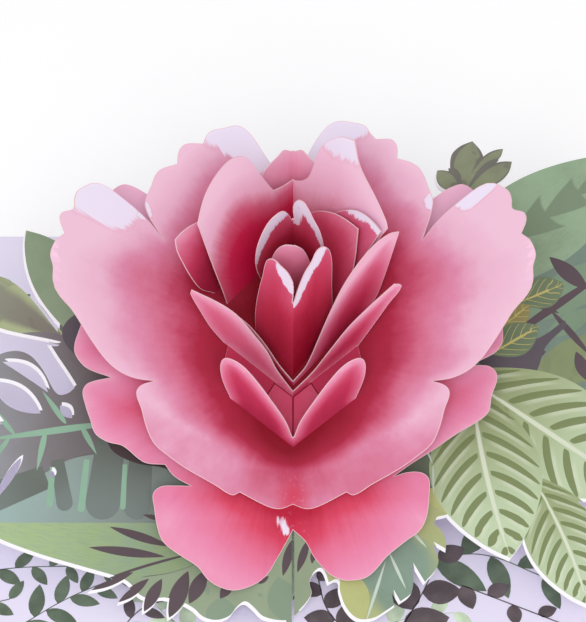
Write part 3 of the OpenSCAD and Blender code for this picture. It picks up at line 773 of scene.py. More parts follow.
# How each standing piece is painted: its paint, the blend at its foot on the right and on the left, the
# blend at its rim, the shares of the blend that follow the rim and the height, the lilac band on the inner
# or outer part of its rim with its width and its drop from the tip, and lilac strokes on its right side.
STANDING = {
    "front_pair_low": ("outer", (0.2, 0.16), 0.84, (0.85, 0.5), None, []),
    "front_pair_high": ("outer", (0.16, 0.48), 0.98, (0.55, 0.65), None, []),
    "inner_pair_front": ("outer", (0.18, 0.14), 1.15, (0.5, 0.85), None, []),
    # bud_front's right foot is given a deeper blend than its left: painted shade on its right wing.
    "bud_front": ("bud", (0.0, 0.18), 0.92, (0.4, 0.6), ("inner", 7.2, 19), []),
    "bud_heart": ("heart", (0.5, 0.5), 1.0, (0.3, 0.7), None, []),
    "bud_back": ("bud", (0.16, 0.16), 0.9, (0.4, 0.6), ("outer", 8.5, 26), []),
    "side_petal_small": ("bud", (0.24, 0.24), 1.05, (0.4, 0.65), None, []),
    "side_petal_rimmed": (
        "outer", (0.05, 0.05), 0.7, (0.45, 0.55), None, [(21, 42, 29, 45, 4.6), (29, 45, 38, 43, 3.4)]),
    "side_petal_outer": ("outer", (0.0, 0.0), 0.8, (0.15, 0.95), None, []),
    "inner_pair_back": ("tall", (0.36, 0.0), 1.0, (0.32, 1.2), None, [(16, 63, 5, 58, 8)]),
    "back_pair": ("outer", (0.74, 0.74), 1.0, (0.4, 0.5), None, []),
}
# Blend of the paint on a pair's glue tabs, where they show
TAB_BLEND = {"front_pair_low": 0.42, "front_pair_high": 0.22}
# Single petals, with the side of the crease that they stand on
SINGLE = {"side_petal_small": (1,), "side_petal_rimmed": (1,), "side_petal_outer": (-1,)}


class CARD_OT_standing_petals(bpy.types.Operator):
    """Make the folded petal pairs and single petals that stand in the flower"""
    bl_idname = "card.standing_petals"
    bl_label = "Standing petals"

    def execute(self, context):
        look = context.scene.card_petals
        cut = cut_paper(look.cut)
        paints = {
            "outer": petal_paint("standing_petal_paint", look, [
                (0.0, rgb(152, 16, 52)), (0.3, rgb(194, 54, 92)), (0.58, rgb(218, 106, 140)),
                (0.82, rgb(232, 156, 186)), (1.0, rgb(240, 188, 210))], 2.5),
            "tall": petal_paint("tall_petal_paint", look, [
                (0.0, rgb(194, 10, 64)), (0.2, rgb(202, 36, 80)), (0.4, rgb(212, 100, 132)),
                (0.62, rgb(236, 178, 204)), (1.0, rgb(242, 198, 220))], 2.5),
            "bud": petal_paint("bud_paint", look, [
                (0.0, rgb(156, 10, 44)), (0.35, rgb(194, 48, 80)), (0.7, rgb(210, 82, 116)),
                (1.0, rgb(224, 122, 152))], 5.0),
            "heart": petal_paint("heart_paint", look, [
                (0.0, rgb(164, 28, 62)), (0.45, rgb(228, 104, 142)), (1.0, rgb(244, 160, 192))]),
        }
        for node, plan in STANDING.items():
            paper = Paper(node, [paints[plan[0]], cut])
            for side in SINGLE.get(node, (1, -1)):
                plane = Plane(node, side)
                self.wing(paper, plane, plan, look)
                self.tab(paper, plane)
            paper.place(folded=True)
        return {"FINISHED"}

    def wing(self, paper, plane, plan, look):
        """One side of a pair, or a single petal, painted from its foot to its rim."""
        _, feet, rim_blend, (near_share, high_share), lilac_band, strokes = plan
        foot_blend = feet[0 if plane.side > 0 else 1]
        single = plane.node in SINGLE
        loops = [smoothed(loop, 0.8) for loop in plane.loops()]
        flat, tris = cut_sheet(loops, [], look.spacing * 0.8, look.cut_width)
        on_foot = flat[:, 1] < 1e-3
        flat[on_foot, 1] = 0.0
        top = plane.raise_up(flat)
        on_fold = np.zeros(len(flat), bool) if single else np.abs(top[:, 0]) < 2e-3
        top[on_fold, 0] = 0.0
        # The cut rim is what neither stands on the wing nor lies along the fold.
        starts, stops = sides(loops)
        middle = plane.raise_up((starts + stops) / 2)
        free = (starts + stops)[:, 1] / 2 > NEAR
        if not single:
            free &= np.abs(middle[:, 0]) > NEAR
        rim_sides = starts[free], stops[free]
        tall = flat[:, 1].max()
        near_rim = np.clip(1 - gap(flat, *rim_sides) / (0.32 * tall), 0, 1)
        share = near_share * near_rim ** 1.5 + high_share * between(flat[:, 1], 0, tall) ** 2
        blend = foot_blend + (rim_blend - foot_blend) * np.clip(share, 0, 1)
        tip = dabs(flat, strokes if plane.side > 0 else [])
        if lilac_band:
            part, width, drop = lilac_band
            out = np.abs(middle[:, 0])
            peak = np.argmax(starts[:, 1])
            fold_top = starts[np.abs(plane.raise_up(starts)[:, 0]) < NEAR][:, 1].max()
            inner = free & (out < out[peak]) & (starts[:, 1] > fold_top - 0.5)
            banded = inner if part == "inner" else free & ~inner
            width = width * between(flat[:, 1], tall - drop, tall) + 1e-3
            tip = np.maximum(tip, soft(gap(flat, starts[banded], stops[banded]) / width))
        paint = np.stack([blend, tip, np.zeros(len(flat))], 1)
        band = bare_band(flat, tris, rim_sides, look.cut_width)
        bottom = plane.back(top, on_fold, on_foot)
        tris = turned_to(plane.front, top, tris)
        brush = polar(flat, (flat[:, 0].mean() * 0.4, -12), 6.0, 60.0)
        paper.add(top, bottom, tris, band, 1, paint, {"brush": brush}, None if single else on_fold)

    def tab(self, paper, plane):
        """The glue tab behind the petal, on the wing."""

        def keep(centre, normal):
            level = np.abs(centre @ plane.up - PAPER) < NEAR
            return (normal @ plane.up > 0.999) & (centre[:, 0] * plane.side > 0) & level

        along, inward = plane.along, np.cross(plane.up, plane.along)
        for loop in region(plane.node, keep):
            outline = anticlockwise(np.stack([loop @ along, loop @ inward], 1))
            flat, tris = cut_sheet([outline], [], 4.0, 0)
            top = flat[:, :1] * along + flat[:, 1:] * inward + plane.up * PAPER
            bottom = top - plane.up * PAPER
            tris = turned_to(plane.up, top, tris)
            paint = np.tile([TAB_BLEND.get(plane.node, 0.1), 0, 0], (len(flat), 1))
            paper.add(top, bottom, tris, 0, 1, paint, {"brush": flat / 50})


# Leaf sprays

LEAF_ROUND = 0.85


class Leaf:
    """A printed leaf: foot, tip, half width, widest place from foot to tip, bow of the midrib."""

    def __init__(self, foot, tip, half, belly, bow, side=1):
        mirror = np.array([side, 1.0])
        self.foot, self.tip = np.array(foot) * mirror, np.array(tip) * mirror
        self.half, self.bow = half, bow * side
        self.power = math.log(0.5) / math.log(belly)
        self.way = self.tip - self.foot
        self.length = np.linalg.norm(self.way)
        self.across = np.array([self.way[1], -self.way[0]]) / self.length

    def width(self, u):
        return self.half * np.maximum(np.sin(np.pi * np.clip(u, 0, 1) ** self.power), 0) ** LEAF_ROUND

    def outline(self, shift):
        u = np.linspace(0, 1, 26)
        rib = self.foot + self.way * u[:, None] + self.across * (4 * self.bow * u * (1 - u))[:, None]
        wide = self.width(u)[:, None] * self.across
        return np.concatenate([rib + wide, (rib - wide)[-2:0:-1]]) + shift

    def coordinates(self, points, shift):
        """Share of the way along the midrib, share of the half width across it."""
        rel = points - shift - self.foot
        u = rel @ self.way / self.length ** 2
        v = rel @ self.across - 4 * self.bow * u * (1 - u)
        return np.stack([u, v / np.maximum(self.width(u), 0.6)], -1)


def field(points, side=1):
    """A field of print, drawn as a rounded outline."""
    loop = np.array(points, float) * (side, 1)
    return smoothed(loop if side > 0 else loop[::-1], 2.0, 60)


def tongue(foot, tip, half, side=1):
    """A tongue of print with straight sides and a round end."""
    mirror = np.array([side, 1.0])
    foot, tip = np.array(foot) * mirror, np.array(tip) * mirror
    way = (tip - foot) / np.linalg.norm(tip - foot)
    across = np.array([way[1], -way[0]])
    turn = np.linspace(-math.pi / 2, math.pi / 2, 9)[:, None]
    end = tip - way * half + half * (np.cos(turn) * way - np.sin(turn) * across)
    return np.concatenate([[foot + across * half * 0.8], end, [foot - across * half * 0.8]])


def leaves(ink, side, shapes, belly=0.5):
    """Straight leaves in one ink, from their feet, tips and half widths."""
    return [(ink, Leaf(foot, tip, half, belly, 0, side), None) for foot, tip, half in shapes]


def tongues(ink, side, shapes):
    """Tongues in one ink, each coloured along a straight leaf."""
    made = zip(leaves(ink, side, shapes), shapes)
    return [(ink, leaf, tongue(*shape, side)) for (_, leaf, _), shape in made]


def leaf_material(name, base, dark, rib=None, ribs=9, sweep=0.5, rib_width=0.0, stripe=0.0, midrib=0.0,
                  lines=0.0, spotty=0.0, core=0.0, fade=None, rim=None):
    """A printed leaf, with each of these only where it is given.

    A colour that it fades to at the tip and one along the rim, a jagged dark core, dark stripes between
    side ribs that sweep to the tip, the side ribs, dark lines along it, dark spots and a midrib.
    """
    ink = Ink(name, 0.6)
    u, v, _ = ink.parts(ink.uv("leaf"))
    place = ink.place()
    wash = ink.noise(place, 55, 4, 0.6)
    brushed = ink.noise(ink.stretch(ink.uv("leaf"), (3, 14, 1)), 4, 3, 0.6)
    side = abs(v)
    lean = side * (u * (1 - u) * 4).most(0.02) ** 0.7
    uneven = (wash - 0.5) * 1.3 + (brushed - 0.5) * 0.8 + 0.25
    tint = ink.mix(uneven.step(0, 1), linear(base), linear(dark))
    if fade:
        tint = ink.mix((u + (wash - 0.5) * 0.3).step(0.1, 0.9), tint, linear(fade))
    if rim:
        tint = ink.mix((side + (wash - 0.5) * 0.5).step(0.4, 0.85), tint, linear(rim))
    run = (u - lean * (lean * 0.5 + 0.5) * sweep * 0.3 + 1.0) * ribs % 1.0
    if core:
        jag = abs(run - 0.5) * 0.7 + side
        tint = ink.mix(jag.step(core + 0.04, core - 0.02) * 0.85, tint, linear(dark))
    if stripe:
        lens = (side * (0.96 - side) * 4).most(0) ** 0.5
        body = (stripe * 0.5 * lens - abs(run - 0.5)).step(-0.03, 0.05) * side.step(0.05, 0.12)
        pale = (stripe * 0.5 - abs(run - 0.72)).step(-0.1, 0.12)
        tint = ink.mix(pale * side.step(0.1, 0.4) * side.step(0.95, 0.7) * 0.45, tint, linear(rib))
        tint = ink.mix((body + (brushed - 0.5) * 0.25).step(0.25, 0.6) * 0.92, tint, linear(dark))
    if rib_width:
        thin = abs(run - 0.02).step(rib_width, rib_width * 0.45) * side.step(0.98, 0.8)
        tint = ink.mix(thin * 0.85, tint, linear(rib))
    if lines:
        hair = ink.noise(ink.stretch(ink.uv("leaf"), (4, 46, 1)), 3, 2)
        tint = ink.mix(hair.step(0.54, 0.64) * lines, tint, linear(dark))
    if spotty:
        blot = ink.noise(place, 150, 1)
        tint = ink.mix(blot.step(0.6, 0.66) * spotty, tint, linear(dark))
    if midrib:
        tint = ink.mix(side.step(midrib * 1.4, midrib * 0.7) * 0.92, tint, linear(rib))
    return ink.finish(tint)


class CARD_OT_leaf_sprays(bpy.types.Operator):
    """Make the two die-cut leaf sprays, with their printed leaves and bare cut borders"""
    bl_idname = "card.leaf_sprays"
    bl_label = "Leaf sprays"

    def left_prints(self):
        """The left spray's printed leaves, with painted shadows, from the lowest to the topmost.

        Each is an ink, the leaf that its pattern follows, and an outline where that isn't the leaf's own.
        """

        def leaf(*shape):
            return Leaf(*shape, side=-1)

        split = leaf((70, 31), (146, 20), 36, 0.5, 0)
        fan = leaf((46, 6), (132, 0), 20, 0.5, 0)
        strap = leaf((36, -22), (134, -7), 13, 0.4, 2)
        front = leaf((2, -28), (66, -40), 24, 0.5, 0)
        prints = [
            ("broad", leaf((74, 50), (109, 113), 12, 0.6, -3), None),
            ("lance", leaf((87, 62), (137, 93), 10.5, 0.64, 0), None),
            ("split", split, field([
                (66, 16), (66, 52), (84, 62), (98, 68), (118, 66), (150, 58), (150, 8), (118, 4), (104, 7),
                (96, 12), (86, 17), (76, 19)], -1)),
            ("fan", fan, field([
                (40, 8), (52, 14), (66, 18), (78, 18), (88, 16), (97, 11), (106, 6), (120, 3), (150, 6),
                (150, -10), (100, -10), (60, -10), (40, -10)], -1)),
        ]
        prints += tongues("lobe", -1, [
            ((97, 9), (122, -1), 6), ((93, 16), (88.8, -4.5), 3.2), ((72, 26), (75.2, -8), 6.8),
            ((60, 20), (61.5, -8), 5.4)])
        prints += tongues("rib", -1, [
            ((94.6, 13), (95.4, -3), 1.3), ((81.4, 16), (83, -5), 1.4), ((66.4, 14), (66.8, -4), 1.1)])
        prints += leaves("rib", -1, [
            ((74, 30.5), (124, 23.6), 1.4), ((90, 30.4), (100, 44), 1.1), ((84, 29.5), (77.6, 18), 1.1),
            ((98, 27.5), (100.8, 11.5), 1.2), ((110, 26), (122, 40), 1.0),
            ((112, 25), (121, 12), 1.0)], belly=0.35)
        prints += [
            # A dark band that hugs the lower petals' edge: painted shadow of the flower on the spray.
            ("umber", fan, field([
                (74.5, 25), (71, 19), (62, 14.5), (51, 12.5), (41, 7.5), (38, 22), (56, 26),
                (68, 32)], -1)),
            # A dark field beside the lower petals' left edge: painted shadow of the flower.
            ("dim", split, field([
                (87, 76), (92.7, 70), (91.3, 63), (83, 55.4), (75.4, 51.7), (66, 58), (72, 80)], -1)),
            ("strap", strap, field([
                (30, -9.5), (70, -9.2), (120, -9), (150, -7), (150, -34), (66, -33), (58, -30.2),
                (48, -28.6), (38, -25), (28, -18)], -1)),
            ("front", front, field([
                (-2, -9), (26, -14), (36, -24), (47, -28.6), (58, -30.4), (70, -32), (66, -50), (20, -52),
                (-2, -52)], -1)),
            ("oval", leaf((2, -48), (6.4, -30), 6.4, 0.5, 0), None),
            ("dapple", leaf((28, -52), (28, -38), 6, 0.55, 0), None),
        ]
        prints += leaves("dapple", -1, [((33, -37.5), (34.6, -32.5), 1.2), ((12, -37.6), (14.4, -37), 0.8)])
        prints += leaves("plum", -1, [
            ((62, -28.5), (79, -35.5), 1.6), ((56, -31), (67.4, -40), 1.8), ((51, -31), (57.6, -43.6), 2.4),
            ((41, -28), (48, -46), 3.3), ((34, -27.6), (40.4, -40.6), 2.9), ((24, -32), (28.6, -38.6), 2),
            ((10, -30), (14, -33), 1), ((48, -18.5), (71.6, -10.8), 1.7), ((50, -22.4), (79.4, -18.8), 1.8),
            ((51, -8), (58.8, -6), 0.9), ((1, -15), (4.6, -29.5), 1.7)])
        prints.append(("plum", leaf((34, -20), (80, -34), 0.55, 0.5, -1), None))
        return prints

    def right_prints(self):
        """The right spray's printed leaves, with one painted shadow, from the lowest to the topmost."""
        prints = [
            ("shade", Leaf((70, 80), (150, 80), 40, 0.5, 0), field([
                (70, 44), (150, 44), (150, 118), (110, 118), (88, 104), (70, 96)])),
            ("moss", Leaf((60, 88), (143, 147), 20, 0.45, 0), None),
            ("olive", Leaf((92, 47), (132, 66), 9, 0.5, 0), None),
        ]
        prints += leaves("green", 1, [((88, 72), (134, 100), 8), ((100, 66), (120, 78), 4)])
        prints += leaves("plum", 1, [
            ((78, 56), (100, 60), 5), ((80, 62), (126, 94), 1.7), ((102, 78), (118, 58), 1.4),
            ((88, 84), (106, 76), 1.5), ((103, 100), (118, 86), 3.4), ((112, 60), (116, 48), 2.6)])
        prints += [
            # A dark field beside the lower petals on the right: painted shadow of the flower.
            ("dim", Leaf((80, 55), (116, 50), 7, 0.5, 0), field([
                (72, 57), (80, 62), (90, 64), (98, 66), (108, 73), (109, 71), (100, 62), (97, 54), (93, 46),
                (82, 46)])),
            ("veined", Leaf((89, 80), (108.6, 88.6), 6.6, 0.55, 0), None),
            ("gilt", Leaf((82, 70), (94, 79.4), 4.8, 0.6, 0), None),
            ("veined", Leaf((78, 59), (97.6, 70.6), 6.8, 0.52, 0), None),
            ("deep", Leaf((40, 30), (62, -12), 12, 0.5, 0), field([
                (40, -12), (62, -4), (66, 10), (62, 30), (40, 30)])),
            ("gold", Leaf((50, 4), (65, -6), 4.6, 0.5, 0), None),
            ("teal", Leaf((34, -8), (44, -50), 24, 0.5, 0), field([
                (12, -6), (40, 2), (56, -4), (64, -12), (62, -24), (50, -36), (40, -46), (28, -52),
                (12, -52)])),
            ("gold", Leaf((17, -26), (24, -50), 7, 0.5, -1), None),
            ("front", Leaf((0, -8), (0, -52), 10, 0.5, 0), field([
                (-2, -8), (9, -16), (12, -30), (10, -52), (-2, -52)])),
        ]
        prints += leaves("plum", 1, [((5.4, -15), (1, -28), 1.6), ((7.6, -19), (6.6, -25), 1.1)])
        prints += [
            ("striped", Leaf((64, 52), (134, 3), 23, 0.52, 0), None),
            ("striped", Leaf((92, 10), (112, -41), 15, 0.5, -2), None),
            ("striped", Leaf((70, 46), (83, -23), 22, 0.5, 2), None),
        ]
        prints += leaves("vein", 1, [
            ((35, -24), (27, -48), 0.6), ((36, -20), (42.6, -35), 0.6), ((43, -10), (51, -19), 0.6),
            ((54, 14), (50, 24), 0.4), ((54, 2), (54, 14), 0.4)])
        # The small sprig's leaves lie on their own darker shade.
        for foot, tip, half, belly in (
                ((64, 112), (74, 152), 7.4, 0.74), ((72, 136), (86.6, 148.6), 2.8, 0.6),
                ((68, 126), (90, 143), 4.5, 0.62), ((69, 126), (59, 139), 4.6, 0.62)):
            prints.append(("dusk", Leaf(foot, tip, half + 1, belly, 0), None))
            prints.append(("sprig", Leaf(foot, np.array(tip) - (0.6, 1.6), half * 0.72, belly, 0), None))
        return prints

    def inks(self, look):
        def printed(name, base, dark, **more):
            return leaf_material(name, rgb(*base), rgb(*dark), **more)

        return {
            "white": cut_paper(rgb(247, 245, 250)),
            "under": printed("under_leaf_print", (104, 104, 100), (86, 84, 84)),
            # painted shadow of the flower along its lower petals' edge, on the left spray
            "umber": printed("painted_lower_shadow", (74, 60, 62), (64, 50, 52)),
            # painted shadow of the flower beside its lower petals, on both sprays
            "dim": printed("painted_side_shadow", (92, 84, 92), (80, 74, 82)),
            "deep": printed("deep_leaf_print", (102, 112, 94), (88, 96, 82)),
            "broad": printed("broad_leaf_print", (138, 156, 128), (118, 136, 108)),
            "lance": printed(
                "lance_leaf_print", (124, 120, 110), (110, 104, 96), fade=rgb(140, 142, 124), spotty=0.3,
                rim=look.lime),
            "split": printed("split_leaf_print", (112, 104, 106), (98, 90, 92), fade=rgb(152, 154, 160)),
            "fan": printed("fan_leaf_print", (126, 136, 130), (116, 126, 120), fade=rgb(152, 174, 170)),
            "lobe": printed("fan_lobe_print", (104, 110, 104), (92, 98, 92), fade=rgb(114, 124, 120)),
            "rib": leaf_material("green_rib_print", look.rib, rgb(128, 162, 138)),
            "strap": printed(
                "strap_leaf_print", (144, 162, 114), (122, 144, 142), fade=rgb(168, 190, 140), lines=0.85),
            "front": printed("front_leaf_print", (144, 158, 132), (132, 142, 114)),
            "oval": printed("pale_oval_print", (132, 150, 128), (122, 140, 120)),
            "dapple": printed("dapple_print", (132, 150, 128), (120, 138, 118)),
            "plum": leaf_material("plum_leaflet_print", look.plum, rgb(78, 64, 70)),
            "moss": leaf_material(
                "moss_leaf_print", look.moss, rgb(116, 132, 108), ribs=6, sweep=1.4, core=0.42),
            "shade": printed("shade_leaf_print", (116, 136, 122), (104, 116, 110)),
            "green": printed("green_patch_print", (124, 146, 122), (112, 132, 110)),
            "olive": printed("olive_leaf_print", (130, 142, 104), (112, 122, 90), spotty=0.3),
            "sprig": printed("sprig_leaf_print", (138, 146, 116), (114, 114, 100), spotty=0.7),
            "dusk": printed("dusk_leaf_print", (116, 114, 106), (102, 100, 94)),
            "veined": printed(
                "veined_leaf_print", (110, 126, 98), (98, 114, 88), rib=look.straw, ribs=5, sweep=1.6,
                rib_width=0.11, midrib=0.07),
            "gilt": printed(
                "gilt_leaf_print", (146, 138, 90), (132, 124, 82), rib=look.straw, ribs=4, sweep=1.6,
                rib_width=0.11, midrib=0.07),
            "gold": printed("gold_leaf_print", (180, 184, 124), (160, 166, 112)),
            "teal": printed("teal_leaf_print", (130, 152, 136), (112, 128, 112), rim=rgb(168, 174, 124)),
            "vein": printed("pale_vein_print", (196, 210, 196), (180, 196, 182)),
            "striped": printed(
                "striped_leaf_print", (150, 162, 118), (114, 126, 80), rib=rgb(212, 218, 196), sweep=0.9,
                stripe=0.47, midrib=0.04, fade=rgb(188, 204, 170)),
        }

    def execute(self, context):
        look = context.scene.card_leaves
        inks = self.inks(look)
        names = list(inks)
        white = names.index("white")
        profile = scored_profile(2 * PAPER, SPRAY_SCORE, 0.0)
        shift = np.array(look.border)
        for node, side, prints in (
                ("foliage_left", -1, self.left_prints()), ("foliage_right", 1, self.right_prints())):
            loops = crease_loops(node)
            fields = [
                leaf.outline(shift) if outline is None else outline + shift for _, leaf, outline in prints]
            lines = [score_line(side * profile[1][0], loops[0], look.spacing)]
            lines += [(loop + shift, True) for loop in loops] + [(outline, True) for outline in fields]
            flat, tris = cut_sheet(loops, lines, look.spacing, 0)
            centre = flat[tris].mean(1)
            slot = np.full(len(tris), names.index("under"))
            corner = flat[tris] / 60
            for (ink, leaf, _), outline in zip(prints, fields):
                on = inside(centre, [outline])
                slot[on] = names.index(ink)
                corner[on] = leaf.coordinates(flat[tris[on]], shift)
            # The print is cut a little off its place, so bare paper shows along one side of each cut.
            slot[~inside(centre - shift, loops) & (np.abs(centre[:, 0]) > look.joint)] = white
            x, q = np.abs(flat[:, 0]), flat[:, 1]
            wave = SPRAY_WAVE * np.sin(x / 23) * np.sin(q / 17) * between(x, 60, 100)
            top, bottom = bent(profile, flat, wave)
            paper = Paper(node, list(inks.values()))
            paper.add(top, bottom, tris, slot, white, None, {"leaf": corner}, back_slot=white)
            paper.place()
        return {"FINISHED"}


# The card and its printed inside

# Half sizes of the printed ground, a little inside the card's edges, in metres
GROUND_X, GROUND_Y = 0.1495, 0.0995
# Width of a plain stem, and how deep the print sits in the card, in millimetres
STEM_WIDTH, PRINT_SEAT = 0.4, 0.01


def inside_print(look):
    ink = Ink("inside_print", 0.55)
    place = ink.place()
    wash = ink.noise(place, 9, 3)
    fleck = ink.noise(place, 260, 2)
    base = linear(look.lilac)
    tint = ink.mix(wash.step(0.3, 0.75), shaded(base, 0.93, 0.92, 0.96), base)
    tint = ink.mix(fleck.step(0.62, 0.8) * 0.12, tint, (1, 1, 1, 1))
    return ink.finish(tint)


def strut_paper(node):
    ink = Ink(node + "_paper", 0.65)
    shade = ink.noise(ink.place(), 80, 2)
    return ink.finish(ink.mix(shade, linear(rgb(224, 219, 238)), linear(rgb(238, 235, 246))))


def sprig_print(name, tint):
    ink = Ink(name, 0.6)
    place = ink.place()
    wash = ink.noise(place, 120, 3)
    base = linear(tint)
    light = tuple(min(1, c * 1.5 + 0.01) for c in base[:3]) + (1,)
    return ink.finish(ink.mix(wash.step(0.3, 0.75), base, light))


def sprig_tree(material):
    """Geometry nodes: leaflets in turn along a stem, with a thin stem, as a printed layer."""
    tree = bpy.data.node_groups.new("printed_sprig", "GeometryNodeTree")
    face = tree.interface
    face.new_socket("Geometry", in_out="INPUT", socket_type="NodeSocketGeometry")
    for label, kind, value in (
            ("Leaflets", "Int", 9), ("Length", "Float", 0.012), ("Width", "Float", 0.0045),
            ("Turn", "Float", 0.9), ("Stem", "Float", 0.0004), ("Thickness", "Float", 0.00003)):
        socket = face.new_socket(label, in_out="INPUT", socket_type="NodeSocket" + kind)
        socket.default_value = value
    face.new_socket("Geometry", in_out="OUTPUT", socket_type="NodeSocketGeometry")
    nodes, links = tree.nodes, tree.links
    source, target = nodes.new("NodeGroupInput"), nodes.new("NodeGroupOutput")

    def make(kind, settings=None, sockets=None):
        made = nodes.new(kind)
        for key, value in (settings or {}).items():
            setattr(made, key, value)
        for key, value in (sockets or {}).items():
            if isinstance(value, bpy.types.NodeSocket):
                links.new(value, made.inputs[key])
            else:
                made.inputs[key].default_value = value
        return made

    def calc(operation, a, b=0.0):
        return make("ShaderNodeMath", {"operation": operation}, {0: a, 1: b}).outputs[0]

    def vector(x=0.0, y=0.0, z=0.0):
        return make("ShaderNodeCombineXYZ", None, {0: x, 1: y, 2: z}).outputs[0]

    def joined(*parts):
        both = make("GeometryNodeJoinGeometry")
        for part in parts:
            links.new(part.outputs[0], both.inputs[0])
        return both.outputs[0]

    def solid(sheet):
        """The sheet with the print's thickness, closed underneath."""
        raised = make("GeometryNodeExtrudeMesh", {"mode": "FACES"}, {
            "Mesh": sheet.outputs[0], "Offset": (0, 0, 1), "Offset Scale": source.outputs["Thickness"],
            "Individual": False})
        under = make("GeometryNodeFlipFaces", None, {0: sheet.outputs[0]})
        return make("GeometryNodeMergeByDistance", None, {
            "Geometry": joined(under, raised), "Distance": 2e-6})

    # A leaflet: a strip from its foot at the origin, narrowed to a point at both ends.
    grid = make("GeometryNodeMeshGrid", None, {
        "Size X": 1.0, "Size Y": 1.0, "Vertices X": 9, "Vertices Y": 3})
    spot = make("ShaderNodeSeparateXYZ", None, {0: make("GeometryNodeInputPosition").outputs[0]})
    along = calc("ADD", spot.outputs[0], 0.5)
    bulge = calc("SINE", calc("MULTIPLY", calc("POWER", along, 0.85), math.pi))
    swell = calc("POWER", calc("MAXIMUM", bulge, 0.0), 0.8)
    across = calc("MULTIPLY", calc("MULTIPLY", spot.outputs[1], swell), source.outputs["Width"])
    leaflet = solid(make("GeometryNodeSetPosition", None, {
        "Geometry": grid.outputs[0],
        "Position": vector(calc("MULTIPLY", along, source.outputs["Length"]), across)}))
    # Leaflets stand on the stem's points, to the left and to the right in turn, smaller towards the tip.
    stem = make("GeometryNodeResampleCurve", None, {
        "Curve": source.outputs["Geometry"], "Count": source.outputs["Leaflets"]})
    points = make("GeometryNodeCurveToPoints", {"mode": "EVALUATED"}, {"Curve": stem.outputs[0]})
    order = make("GeometryNodeInputIndex").outputs[0]
    hand = calc("SUBTRACT", calc("MULTIPLY", calc("MODULO", order, 2.0), 2.0), 1.0)
    tangent = make("ShaderNodeSeparateXYZ", None, {0: points.outputs["Tangent"]})
    heading = calc("ARCTAN2", tangent.outputs[1], tangent.outputs[0])
    loose = make("FunctionNodeRandomValue", {"data_type": "FLOAT"}, {2: -0.16, 3: 0.16, "Seed": 7})
    leaning = calc("ADD", heading, calc("MULTIPLY", hand, source.outputs["Turn"]))
    turned = calc("ADD", leaning, loose.outputs[1])
    share = calc("DIVIDE", order, source.outputs["Leaflets"])
    size = calc("SUBTRACT", 1.1, calc("MULTIPLY", share, 0.5))
    placed = make("GeometryNodeInstanceOnPoints", None, {
        "Points": points.outputs[0], "Instance": leaflet.outputs[0],
        "Rotation": vector(z=turned), "Scale": vector(size, size, 1.0)})
    strip = make("GeometryNodeCurvePrimitiveLine", None, {"Start": (-0.5, 0, 0), "End": (0.5, 0, 0)})
    wide = make("GeometryNodeTransform", None, {
        "Geometry": strip.outputs[0], "Scale": vector(source.outputs["Stem"], 1.0, 1.0)})
    stalk = solid(make("GeometryNodeCurveToMesh", None, {
        "Curve": source.outputs["Geometry"], "Profile Curve": wide.outputs[0]}))
    real = make("GeometryNodeRealizeInstances", None, {0: joined(stalk, placed)})
    finished = make("GeometryNodeSetMaterial", None, {"Geometry": real.outputs[0], "Material": material})
    links.new(finished.outputs[0], target.inputs[0])
    return tree


